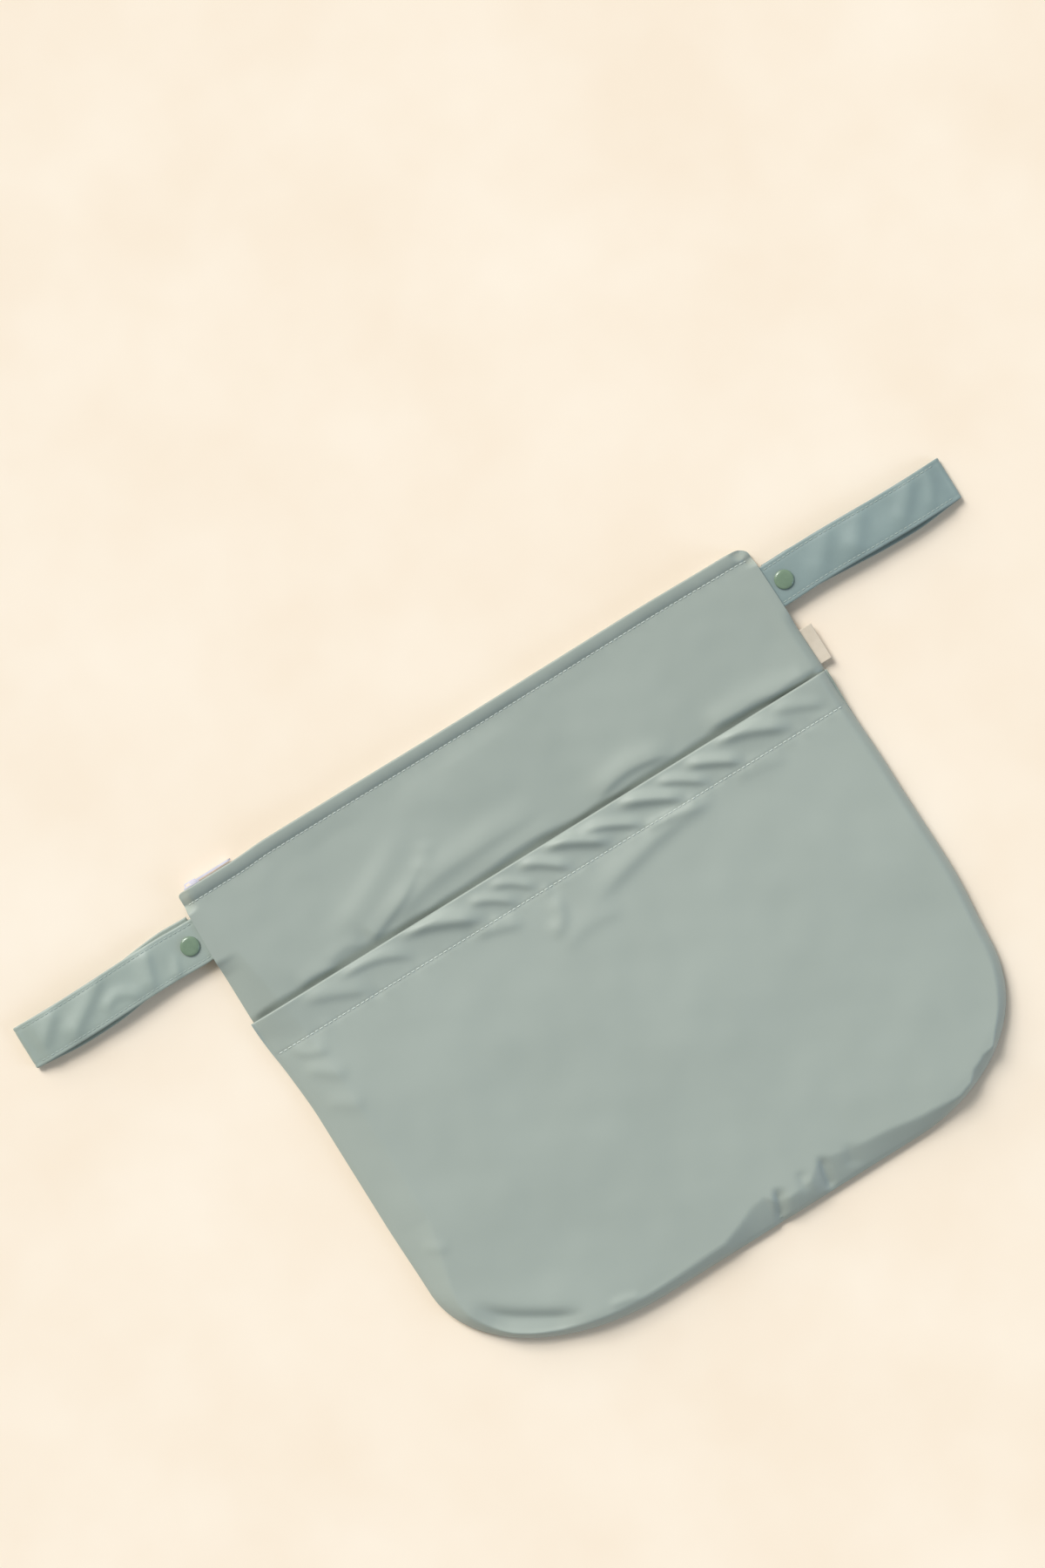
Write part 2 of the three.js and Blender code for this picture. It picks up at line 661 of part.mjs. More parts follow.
function zipCoil() {
  const section = new THREE.Shape();
  section.absellipse(0, 0, coilHeight / 2, coilDepth / 2, 0, 2 * Math.PI, false);
  const coil = new THREE.ExtrudeGeometry(section, {
    depth: zipEnd - coilStart, bevelEnabled: false, curveSegments: 5, steps: 1,
  });
  coil.rotateY(Math.PI / 2);
  return coil;
}

// The slider stands in front of the zip's end: a plate, a core between the tapes' ends, and a
// bridge along it for the pull's crossbar
const sliderX = zipStart - sliderOverhang + sliderLength / 2;
const plateFront = sliderGap + sliderPlate;
const barRadius = pullPlate / 2;
const barOut = plateFront + sliderGap + barRadius;
const bridgeOut = barOut + barRadius + sliderGap + bridgeWire;
const bridgeHalf = sliderLength * bridgeShare / 2;

// The slider's outline from its narrow end, as shares of half its length and half its width
const sliderOutline = [
  { along: -1, across: 0.45 },
  { along: -0.55, across: 1 },
  { along: 1, across: 0.82 },
];

function zipSlider() {
  const at = (row, side) => new THREE.Vector2(
    row.along * sliderLength / 2, side * row.across * sliderWidth / 2,
  );
  const outline = new THREE.Shape([
    ...sliderOutline.map((row) => at(row, -1)),
    ...sliderOutline.map((row) => at(row, 1)).reverse(),
  ]);
  const plate = new THREE.ExtrudeGeometry(outline, { depth: sliderPlate, bevelEnabled: false });
  plate.rotateX(Math.PI / 2);
  plate.translate(0, plateFront, 0);

  const foot = plateFront - sliderPlate / 2;
  const inner = bridgeHalf - bridgeWire;
  const corner = bridgeOut - bridgeWire;
  const shoulder = corner - bridgeWire / 2;
  const arch = new THREE.Shape([
    [-bridgeHalf, foot], [-bridgeHalf, shoulder], [-inner, bridgeOut], [inner, bridgeOut],
    [bridgeHalf, shoulder], [bridgeHalf, foot], [inner, foot], [inner, corner],
    [-inner, corner], [-inner, foot],
  ].map(([x, y]) => new THREE.Vector2(x, y)));
  const bridge = new THREE.ExtrudeGeometry(arch, { depth: bridgeWidth, bevelEnabled: false });
  bridge.translate(0, 0, -bridgeWidth / 2);

  const coreTop = sliderGap + sliderPlate / 2; // inside the plate
  const coreDepth = clearance + coilDepth + coreTop;
  const core = new THREE.BoxGeometry(sliderCore, coreDepth, coilHeight - 2 * coreInset);
  core.translate(zipStart + sliderCore / 2 - sliderX, coreTop - coreDepth / 2, 0);
  return fromSolid(toSolid(plate).add(toSolid(bridge)).add(toSolid(core)));
}

// The pull is a flat tab with a slot, whose two arms hold the round bar that turns under the
// bridge
function zipPull() {
  const windowEnd = Math.hypot(bridgeHalf, bridgeOut - barOut) + windowEndGap;
  const window = bridgeWidth / 2 + windowGap;
  const wide = pullWidth / 2;
  const foot = wide * pullTaper;
  const tip = pullLength - wide;
  const tab = new THREE.Shape();
  tab.moveTo(0, -foot);
  tab.lineTo(tip, -wide);
  tab.absarc(tip, 0, wide, -Math.PI / 2, Math.PI / 2, false);
  tab.lineTo(0, foot);
  tab.lineTo(0, window);
  tab.lineTo(windowEnd, window);
  tab.lineTo(windowEnd, -window);
  tab.lineTo(0, -window);
  tab.closePath();
  const from = windowEnd + slotWeb;
  const to = tip - slotTipGap;
  const high = slotWidth / 2;
  tab.holes.push(new THREE.Path([
    [from, -high], [from, high], [to, high], [to, -high], [from, -high],
  ].map(([x, y]) => new THREE.Vector2(x, y))));
  const plate = new THREE.ExtrudeGeometry(tab, { depth: pullPlate, bevelEnabled: false, curveSegments: 5 });
  plate.rotateX(Math.PI / 2);
  plate.translate(0, pullPlate / 2, 0);
  const bar = new THREE.CylinderGeometry(barRadius, barRadius, 2 * foot, 24);
  bar.rotateX(Math.PI / 2);
  return fromSolid(toSolid(plate).add(toSolid(bar)));
}

function addZip() {
  const white = fabric(zipColour);
  const shiny = gloss(zipColour);
  add("zipper_tape_back", zipTape(zipFloor), white);
  add("zipper_tape_front", zipTape(zipFloor + coilHeight - tapeCloth), white);
  add("zipper_coil", zipCoil(), shiny, [coilStart, coilBack + coilDepth / 2, zipMiddle]);
  add("zipper_slider", zipSlider(), shiny, [sliderX, zipEdge, zipMiddle]);
  add("zipper_pull", zipPull(), shiny, [sliderX, zipEdge + barOut, zipMiddle]);
}

// The label is a tape folded round on itself, sewn into the right seam, whose level it follows
function label() {
  const seam = sideEdge(1, labelMiddle);
  const z = cloth + clearance + labelCloth / 2;
  const line = [
    { out: -labelTail, z }, { out: 0, z }, { out: labelOut * 0.5, z }, { out: labelOut * 0.85, z },
    { out: labelOut, z, wall: labelCloth * 0.6 },
  ];
  const place = (out, across, height) => {
    const y = labelMiddle + across;
    return new THREE.Vector3(seam + out, y, height + seamLevel(y));
  };
  const { upper, lower } = band(line, labelLength, labelCloth, 7, place);
  return wallBetween(upper, lower);
}

add("back_panel", panel("back", 0, true), fabric(clothColour));
add("front_panel", panel("front", 0, false), fabric(clothColour));
add("pocket_panel", panel("pocket", pocketRow, false), fabric(clothColour));
addZip();
addStrapAndSnap(-1, "left");
addStrapAndSnap(1, "right");
add("side_label", label(), fabric(labelColour));

// The origin is the middle of the bag's footprint, on the surface that it lies on
bag.updateMatrixWorld(true);
const bounds = new THREE.Box3().setFromObject(bag, true);
const middle = bounds.getCenter(new THREE.Vector3());
bag.children.forEach((mesh) => mesh.position.sub(new THREE.Vector3(middle.x, middle.y, bounds.min.z)));

export default bag;
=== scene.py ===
# A zipped cloth wet bag lying flat on its back, seen from straight above.
# The frame holds the solids at their real size. Here the cloth gets its folds, hems, stitches and
# finish, and the snaps, the zip and the label their fine shapes. Shapes are worked out in
# millimetres in the frame's axes: +X along the mouth, +Y from the bottom seam to the mouth, +Z up.

import math

import bpy
import numpy as np
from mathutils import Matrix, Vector


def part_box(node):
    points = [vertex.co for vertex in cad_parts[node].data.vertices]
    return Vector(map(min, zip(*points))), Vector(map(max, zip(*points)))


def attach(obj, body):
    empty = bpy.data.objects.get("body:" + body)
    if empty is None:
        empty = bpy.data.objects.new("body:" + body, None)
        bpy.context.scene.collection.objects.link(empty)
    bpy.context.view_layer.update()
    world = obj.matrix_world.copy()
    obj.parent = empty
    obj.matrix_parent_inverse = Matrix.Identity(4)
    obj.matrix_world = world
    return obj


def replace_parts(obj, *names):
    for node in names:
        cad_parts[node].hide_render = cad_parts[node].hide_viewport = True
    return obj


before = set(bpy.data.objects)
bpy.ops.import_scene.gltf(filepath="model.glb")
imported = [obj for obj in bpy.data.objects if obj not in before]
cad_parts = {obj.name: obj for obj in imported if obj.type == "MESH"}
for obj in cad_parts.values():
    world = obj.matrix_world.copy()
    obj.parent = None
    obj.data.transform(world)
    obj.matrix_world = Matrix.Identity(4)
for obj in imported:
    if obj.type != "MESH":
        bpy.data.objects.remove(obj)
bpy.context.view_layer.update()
print("frame loaded:", len(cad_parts), "nodes")

mm = 0.001


def nodeBox(name):
    low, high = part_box(name)
    return np.array(low) / mm, np.array(high) / mm


def smooth(share):
    t = np.clip(share, 0.0, 1.0)
    return t * t * (3 - 2 * t)


def mix(first, second, share):
    return first + (second - first) * share


def bell(away, wide):
    return np.exp(-(away / wide) ** 2)


# Reads a column of a table by its first column, with a soft run from row to row
def readTable(rows, column, at):
    at = np.asarray(at, dtype=float)
    result = np.full(at.shape, float(rows[0][column]))
    for low, high in zip(rows, rows[1:]):
        share = (at - low["at"]) / (high["at"] - low["at"])
        result = np.where(at > low["at"], mix(low[column], high[column], smooth(share)), result)
    return result


# Soft unevenness: a few dozen waves in seeded random directions
def unevenness(x, y, wavelength, seed, count=24):
    random = np.random.default_rng(seed)
    total = np.zeros(np.broadcast(x, y).shape)
    for _ in range(count):
        angle = random.uniform(0, 2 * math.pi)
        size = 2 * math.pi / (wavelength * random.uniform(0.7, 1.6))
        phase = random.uniform(0, 2 * math.pi)
        total += np.sin((x * math.cos(angle) + y * math.sin(angle)) * size + phase)
    return total * math.sqrt(2 / count)


# Meshes

def meshPiece(name, points, faces, material, body="bag"):
    mesh = bpy.data.meshes.new(name)
    mesh.from_pydata((np.asarray(points) * mm).tolist(), [], faces)
    mesh.update()
    mesh.polygons.foreach_set("use_smooth", [True] * len(mesh.polygons))
    mesh.materials.append(material)
    piece = bpy.data.objects.new(name, mesh)
    bpy.context.scene.collection.objects.link(piece)
    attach(piece, body)
    return piece


# A closed wall between an upper and a lower grid of points, rows down the page, columns to the right
def wallPiece(name, upper, lower, material):
    rows, columns = upper.shape[:2]
    under = rows * columns
    index = np.arange(under).reshape(rows, columns)
    a, b = index[:-1, :-1].ravel(), index[:-1, 1:].ravel()
    d, e = index[1:, :-1].ravel(), index[1:, 1:].ravel()
    faces = np.stack([a, d, e, b], 1).tolist()
    faces += (np.stack([a, b, e, d], 1) + under).tolist()
    loop = np.concatenate([index[:-1, 0], index[-1, :-1], index[:0:-1, -1], index[0, :0:-1]])
    faces += [[q, p, under + p, under + q] for p, q in zip(loop.tolist(), np.roll(loop, -1).tolist())]
    points = np.concatenate([upper.reshape(-1, 3), lower.reshape(-1, 3)])
    return meshPiece(name, points, faces, material)


# Points and faces of a closed tube through rings of points, its ends shut
def tube(rings, first=0):
    count, around = rings.shape[:2]
    index = np.arange(count * around).reshape(count, around) + first
    after = np.roll(index, -1, axis=1)
    sides = np.stack([index[:-1].ravel(), after[:-1].ravel(), after[1:].ravel(), index[1:].ravel()], 1)
    faces = sides.tolist() + [index[0, ::-1].tolist(), index[-1].tolist()]
    return rings.reshape(-1, 3), faces


# One mesh of many tubes
def tubesPiece(name, listOfRings, material, body="bag"):
    points, faces, first = [], [], 0
    for rings in listOfRings:
        ringPoints, ringFaces = tube(rings, first)
        points.append(ringPoints)
        faces += ringFaces
        first += len(ringPoints)
    return meshPiece(name, np.concatenate(points), faces, material, body)


# Rings of a round thread along a line of points
def roundRings(line, radii, around):
    line = np.asarray(line, dtype=float)
    ahead = np.gradient(line, axis=0)
    ahead /= np.linalg.norm(ahead, axis=1, keepdims=True)
    side = np.cross(ahead, (0, 0, 1))
    side /= np.linalg.norm(side, axis=1, keepdims=True)
    up = np.cross(side, ahead)
    angles = np.arange(around) * 2 * math.pi / around
    ring = side[:, None] * np.cos(angles)[:, None] + up[:, None] * np.sin(angles)[:, None]
    return line[:, None] + ring * np.asarray(radii)[:, None, None]


# A turned piece from a profile of (radius, height) points, about a vertical axis
def turnedPiece(name, profile, middle, material, around=56):
    angles = np.arange(around) * 2 * math.pi / around
    rings = np.array([
        np.stack([radius * np.cos(angles), radius * np.sin(angles), np.full(around, height)], 1)
        for radius, height in profile
    ])
    points, faces = tube(rings + np.asarray(middle))
    return meshPiece(name, points, faces, material)


# Materials

def nodeMaterial(name):
    material = bpy.data.materials.new(name)
    material.use_nodes = True
    nodes = material.node_tree.nodes
    return material, nodes, material.node_tree.links, nodes["Principled BSDF"]


def addNode(nodes, kind, **values):
    node = nodes.new(kind)
    for key, value in values.items():
        if hasattr(node, key):
            setattr(node, key, value)
        else:
            node.inputs[key].default_value = value
    return node


def linear(colour):
    return [*(((c / 255 + 0.055) / 1.055) ** 2.4 for c in colour), 1.0]


# Two close tones mixed by a soft noise
def mottled(nodes, links, coordinates, first, second, scale, detail=3.0):
    clouds = addNode(nodes, "ShaderNodeTexNoise", Scale=scale, Detail=detail, Roughness=0.55)
    ramp = nodes.new("ShaderNodeValToRGB")
    ramp.color_ramp.elements[0].position = 0.32
    ramp.color_ramp.elements[1].position = 0.68
    ramp.color_ramp.elements[0].color = linear(first)
    ramp.color_ramp.elements[1].color = linear(second)
    links.new(coordinates, clouds.inputs["Vector"])
    links.new(clouds.outputs["Fac"], ramp.inputs["Fac"])
    return ramp.outputs["Color"]


waveScale = 0.314  # a wave texture's scale for waves one metre apart


# The bump of a plain weave: two sets of threads, one across the other
def weaveBump(nodes, links, coordinates, thread, depth, strength):
    waves = []
    for direction in ("X", "Y"):
        scale = waveScale / (thread * mm)
        wave = addNode(nodes, "ShaderNodeTexWave", Scale=scale, Distortion=0.6, Detail=1.0)
        wave.bands_direction = direction
        wave.inputs["Detail Scale"].default_value = 0.6
        links.new(coordinates, wave.inputs["Vector"])
        waves.append(wave)
    weave = addNode(nodes, "ShaderNodeMath", operation="MULTIPLY")
    links.new(waves[0].outputs["Fac"], weave.inputs[0])
    links.new(waves[1].outputs["Fac"], weave.inputs[1])
    bump = addNode(nodes, "ShaderNodeBump", Strength=strength, Distance=depth * mm)
    links.new(weave.outputs["Value"], bump.inputs["Height"])
    return bump


# Laminated cloth with a satin face: fine weave, faint clouding, small handling creases
def satinCloth(name, look):
    material, nodes, links, shader = nodeMaterial(name)
    coordinates = nodes.new("ShaderNodeTexCoord").outputs["Object"]
    colour = mottled(nodes, links, coordinates, look["shade"], look["light"], look["clouds"])
    links.new(colour, shader.inputs["Base Color"])
    bump = weaveBump(nodes, links, coordinates, look["thread"], 0.05, 0.35)
    crumple = addNode(nodes, "ShaderNodeTexNoise", Scale=look["crumple"], Detail=4.0, Roughness=0.5)
    links.new(coordinates, crumple.inputs["Vector"])
    creases = addNode(nodes, "ShaderNodeBump", Strength=look["crumpleDepth"], Distance=0.3 * mm)
    links.new(crumple.outputs["Fac"], creases.inputs["Height"])
    links.new(creases.outputs["Normal"], bump.inputs["Normal"])
    links.new(bump.outputs["Normal"], shader.inputs["Normal"])
    rough = addNode(nodes, "ShaderNodeMapRange")
    rough.inputs["To Min"].default_value = look["roughness"] - 0.05
    rough.inputs["To Max"].default_value = look["roughness"] + 0.06
    links.new(crumple.outputs["Fac"], rough.inputs["Value"])
    links.new(rough.outputs["Result"], shader.inputs["Roughness"])
    shader.inputs["Sheen Weight"].default_value = look["sheen"]
    shader.inputs["Sheen Roughness"].default_value = 0.4
    shader.inputs["Specular IOR Level"].default_value = look["specular"]
    return material


panelSatin = {
    "clouds": 22.0, "thread": 0.45, "crumple": 160.0, "crumpleDepth": 0.12,
    "roughness": 0.52, "sheen": 0.15, "specular": 0.5,
}
strapSatin = {
    "clouds": 40.0, "thread": 0.42, "crumple": 220.0, "crumpleDepth": 0.2,
    "roughness": 0.45, "sheen": 0.1, "specular": 0.55,
}
bagCloth = satinCloth("bag cloth", {"shade": (158, 168, 160), "light": (161, 171, 163), **panelSatin})
frontCloth = satinCloth("front cloth", {"shade": (154, 164, 156), "light": (157, 167, 159), **panelSatin})
leftStrapCloth = satinCloth("left strap cloth", {
    "shade": (150, 163, 155), "light": (157, 170, 162), **strapSatin,
})
# The right strap is the same cloth as the left one; its bluer, darker tones are painted shade and painted
# cool light.
rightStrapClothPaintedShade = satinCloth("right strap cloth painted cool shade", {
    "shade": (131, 149, 147), "light": (139, 157, 155), **strapSatin,
})


# Two-ply sewing thread with a fine twist
def threadMaterial(name, colour):
    material, nodes, links, shader = nodeMaterial(name)
    coordinates = nodes.new("ShaderNodeTexCoord").outputs["Object"]
    shade = [c * 0.93 for c in colour]
    links.new(mottled(nodes, links, coordinates, shade, colour, 900.0), shader.inputs["Base Color"])
    twist = addNode(nodes, "ShaderNodeTexWave", Scale=waveScale / (0.3 * mm), Distortion=0.4)
    twist.bands_direction = "DIAGONAL"
    links.new(coordinates, twist.inputs["Vector"])
    bump = addNode(nodes, "ShaderNodeBump", Strength=0.5, Distance=0.04 * mm)
    links.new(twist.outputs["Fac"], bump.inputs["Height"])
    links.new(bump.outputs["Normal"], shader.inputs["Normal"])
    shader.inputs["Roughness"].default_value = 0.5
    return material


sewingThread = threadMaterial("sewing thread", (216, 225, 217))
strapThread = threadMaterial("strap thread", (168, 182, 175))


# Moulded plastic: clear tone, faint flow marks and a fine skin
def mouldedPlastic(name, shade, light, roughness, coat):
    material, nodes, links, shader = nodeMaterial(name)
    coordinates = nodes.new("ShaderNodeTexCoord").outputs["Object"]
    links.new(mottled(nodes, links, coordinates, shade, light, 260.0), shader.inputs["Base Color"])
    skin = addNode(nodes, "ShaderNodeTexNoise", Scale=1400.0, Detail=2.0)
    links.new(coordinates, skin.inputs["Vector"])
    bump = addNode(nodes, "ShaderNodeBump", Strength=0.06, Distance=0.02 * mm)
    links.new(skin.outputs["Fac"], bump.inputs["Height"])
    links.new(bump.outputs["Normal"], shader.inputs["Normal"])
    shader.inputs["Roughness"].default_value = roughness
    shader.inputs["Coat Weight"].default_value = coat
    shader.inputs["Coat Roughness"].default_value = 0.12
    return material


snapPlastic = mouldedPlastic("snap plastic", (112, 134, 112), (120, 142, 119), 0.24, 0.35)
zipPlastic = mouldedPlastic("zip plastic", (214, 214, 232), (226, 226, 242), 0.3, 0.2)


# Ribbed woven tape, for the zip and for the label
def wovenTape(name, shade, light, thread, roughness):
    material, nodes, links, shader = nodeMaterial(name)
    coordinates = nodes.new("ShaderNodeTexCoord").outputs["Object"]
    links.new(mottled(nodes, links, coordinates, shade, light, 120.0), shader.inputs["Base Color"])
    bump = weaveBump(nodes, links, coordinates, thread, 0.08, 0.6)
    links.new(bump.outputs["Normal"], shader.inputs["Normal"])
    shader.inputs["Roughness"].default_value = roughness
    shader.inputs["Sheen Weight"].default_value = 0.2
    return material


zipTape = wovenTape("zip tape", (208, 205, 220), (222, 219, 232), 0.5, 0.75)
labelTape = wovenTape("label tape", (208, 195, 175), (219, 206, 187), 0.35, 0.6)
print("materials made")

# The bag's plan

bag = {
    "leftMouthCorner": 2.5,
    "rightMouthCorner": 7.0,
    "leftCorner": (112.0, 68.0),  # soft quarter ellipses at the bottom
    "rightCorner": (92.0, 72.0),
    "cloth": 1.0,
    "gap": 0.3,
    "mouthHem": 7.8,
    "pocketDrop": 80.8,  # from the mouth's edge down to the pocket's mouth
    "pocketHem": 21.3,
    "pocketOut": (-1.5, 0.8),  # how far the pocket's corners stand out, left and right
    "behindInset": 2.4,  # how far inside the pocket's edge the front lies behind it
    "bottomRise": 0.006,  # share of the height that the bottom climbs to the right
    "strapDrop": 28.2,
    "strapWidth": 25.0,
    "labelDrop": 66.4,
    "labelLength": 21.6,
    "frontGrid": 1.12,  # spacing of the cloth's mesh
    "pocketGrid": 1.3,
}
backLow, backHigh = nodeBox("back_panel")
bagWidth = backHigh[0] - backLow[0]
bagHeight = backHigh[1] - backLow[1]
centre = (backLow[:2] + backHigh[:2]) / 2
halfWidth = bagWidth / 2
mouth = bagHeight / 2
pocketMouth = mouth - bag["pocketDrop"]
pocketStitch = pocketMouth - bag["pocketHem"]
strapMiddle = mouth - bag["strapDrop"]
labelMiddle = mouth - bag["labelDrop"]

# How far each side lies in from the widest place, in shares of the width, by share of the height
sideRows = [
    {"at": 0.0, "left": 0.003, "right": 0.013},
    {"at": 0.16, "left": 0.0, "right": 0.01},
    {"at": 0.28, "left": 0.0, "right": 0.0075},
    {"at": 0.45, "left": 0.0085, "right": 0.003},
    {"at": 0.64, "left": 0.009, "right": 0.0},
    {"at": 0.8, "left": 0.012, "right": 0.009},
    {"at": 1.0, "left": 0.012, "right": 0.0},
]
# How far the mouth's edge dips, in shares of its hem, by share of the width from the middle
mouthRows = [
    {"at": -0.5, "dip": 0.14},
    {"at": -0.41, "dip": 0.14},
    {"at": -0.34, "dip": 0.0},
    {"at": 0.0, "dip": 0.07},
    {"at": 0.3, "dip": 0.02},
    {"at": 0.45, "dip": 0.1},
    {"at": 0.5, "dip": 0.2},
]


def sideEdge(side, y):
    share = (mouth - y) / bagHeight
    column = "left" if side < 0 else "right"
    return side * (halfWidth - bagWidth * readTable(sideRows, column, share))


def mouthDip(x):
    return bag["mouthHem"] * readTable(mouthRows, "dip", x / bagWidth)


def bottomRise(x):
    return bag["bottomRise"] * bagHeight * smooth(x / bagWidth + 0.45)


# Moves the plain outline in with the sides' bow, the bottom's rise and the mouth's dips
def settle(x, y):
    across = np.minimum(1, np.abs(x) / halfWidth)
    reach = np.where(x < 0, -sideEdge(-1, y), sideEdge(1, y))
    dip = mouthDip(x) * smooth(1 - (mouth - y) / bag["mouthHem"])
    return x * mix(1, reach / halfWidth, across), y + bottomRise(x) * smooth(-y / mouth) - dip


def ellipseArc(middle, radii, start, end, count=40):
    angles = np.linspace(start, end, count)
    return np.stack([middle[0] + radii[0] * np.cos(angles), middle[1] + radii[1] * np.sin(angles)], 1)


# One side of the plain outline, from the top of the mouth's corner to the middle of the bottom one
def sideLine(side):
    corner = bag["leftCorner"] if side < 0 else bag["rightCorner"]
    r = bag["leftMouthCorner"] if side < 0 else bag["rightMouthCorner"]
    top = ellipseArc((halfWidth - r, mouth - r), (r, r), math.pi / 2, 0)
    low = ellipseArc((halfWidth - corner[0], corner[1] - mouth), corner, 0, -math.pi / 4)
    return np.concatenate([top, low]) * (side, 1)


def bottomLine():
    left, right = bag["leftCorner"], bag["rightCorner"]
    first = ellipseArc((left[0] - halfWidth, left[1] - mouth), left, 1.25 * math.pi, 1.5 * math.pi)
    last = ellipseArc((halfWidth - right[0], right[1] - mouth), right, -0.5 * math.pi, -0.25 * math.pi)
    return np.concatenate([first, last])


def lengthsAlong(line):
    steps = np.linalg.norm(np.diff(line, axis=0), axis=1)
    return np.concatenate([[0], np.cumsum(steps)])


def alongLine(line, shares):
    lengths = lengthsAlong(line)
    at = np.asarray(shares) * lengths[-1]
    return np.stack([np.interp(at, lengths, line[:, i]) for i in range(line.shape[1])], -1)


leftLine, rightLine, baseLine = sideLine(-1), sideLine(1), bottomLine()


# Distances from an edge at which the mesh has lines: close together where the cloth turns over
edgeSteps = np.array([0, 0.12, 0.35, 0.7, 1.2, 1.9, 2.8, 3.9, 5.2, 6.6, 8.1, 9.6])


def linesFrom(length, step):
    inner = np.linspace(edgeSteps[-1], length, max(2, round((length - edgeSteps[-1]) / step)) + 1)
    return np.concatenate([edgeSteps, inner[1:]])


def columnLines(step):
    half = linesFrom(halfWidth, step) / bagWidth
    return np.concatenate([half, 1 - half[-2::-1]])


def lowerLines(step):
    length = pocketStitch + mouth - bag["leftCorner"][1] / 2
    return 1 - linesFrom(length, step)[::-1] / length


def lowerSide(line, shares):
    lengths = lengthsAlong(line)
    start = np.interp(-pocketStitch, -line[:, 1], lengths) / lengths[-1]
    return alongLine(line, mix(start, 1, shares)) if len(shares) else np.zeros((0, 2))


# A grid of the plan: straight rows at the given heights, then rows that bend to follow the bottom
def planGrid(heights, shares, columns):
    left, right = [
        np.concatenate([np.stack([np.interp(-heights, -line[:, 1], line[:, 0]), heights], 1),
                        lowerSide(line, shares)])
        for line in (leftLine, rightLine)
    ]
    bend = np.concatenate([np.zeros(len(heights)), shares ** 2])[:, None]
    edge = alongLine(baseLine, columns)
    straight = mix(baseLine[0], baseLine[-1], columns[:, None])
    x = mix(left[:, :1], right[:, :1], columns) + bend * (edge - straight)[:, 0]
    y = mix(left[:, 1:], right[:, 1:], columns) + bend * (edge - straight)[:, 1]
    return settle(x, y)


# The seamed edge: down the left side, along the bottom and up the right side
edgeX, edgeY = planGrid(np.linspace(mouth - 1, pocketStitch, 40), lowerLines(4.0)[1:], columnLines(4.0))
seamLine = np.concatenate([
    np.stack([edgeX[:, 0], edgeY[:, 0]], 1),
    np.stack([edgeX[-1, 1:-1], edgeY[-1, 1:-1]], 1),
    np.stack([edgeX[::-1, -1], edgeY[::-1, -1]], 1),
])


def distanceToLine(x, y, line):
    nearest = np.full(x.shape, 1e9)
    along = np.zeros(x.shape)
    sign = np.ones(x.shape)
    lengths = lengthsAlong(line)
    for i, (a, b) in enumerate(zip(line, line[1:])):
        step = b - a
        length = max(1e-6, float(step @ step))
        share = np.clip(((x - a[0]) * step[0] + (y - a[1]) * step[1]) / length, 0, 1)
        away = np.hypot(x - a[0] - share * step[0], y - a[1] - share * step[1])
        closer = away < nearest
        nearest = np.where(closer, away, nearest)
        along = np.where(closer, lengths[i] + share * math.sqrt(length), along)
        cross = step[0] * (y - a[1]) - step[1] * (x - a[0])
        sign = np.where(closer, np.sign(cross), sign)
    return nearest, sign, along / lengths[-1]


# Creases. A path runs in the frame's millimetres along the steepest line of a crease, left to
# right, so that its left hand is the mouth's side. The crest stands on that side, with a steep
# slope of one width down to the path's other side and a gentle one of another width behind it.

def softPath(points, count=14):
    points = np.asarray(points, dtype=float) - centre
    if len(points) == 2:
        return points
    at = np.linspace(0, len(points) - 1, count)
    padded = np.concatenate([[2 * points[0] - points[1]], points, [2 * points[-1] - points[-2]]])
    i = np.minimum(at.astype(int), len(points) - 2)
    t = (at - i)[:, None]
    p0, p1, p2, p3 = padded[i], padded[i + 1], padded[i + 2], padded[i + 3]
    return 0.5 * (2 * p1 + (p2 - p0) * t + (2 * p0 - 5 * p1 + 4 * p2 - p3) * t ** 2
                  + (3 * p1 - p0 - 3 * p2 + p3) * t ** 3)


def creasesAt(x, y, creases):
    total = np.zeros(x.shape)
    for crease in creases:
        path = softPath(crease["path"])
        steep, gentle = crease["steep"], crease["gentle"]
        margin = 3 * max(steep, gentle)
        near = (x > path[:, 0].min() - margin) & (x < path[:, 0].max() + margin)
        near &= (y > path[:, 1].min() - margin) & (y < path[:, 1].max() + margin)
        distance, sign, along = distanceToLine(x[near], y[near], path)
        offset = distance * sign - 0.7 * steep
        width = np.where(offset > 0, gentle, steep)
        start, end = crease.get("ends", (0.3, 0.3))
        fade = smooth(along / start) * smooth((1 - along) / end)
        total[near] += crease["high"] * fade * bell(offset, width)
    return total


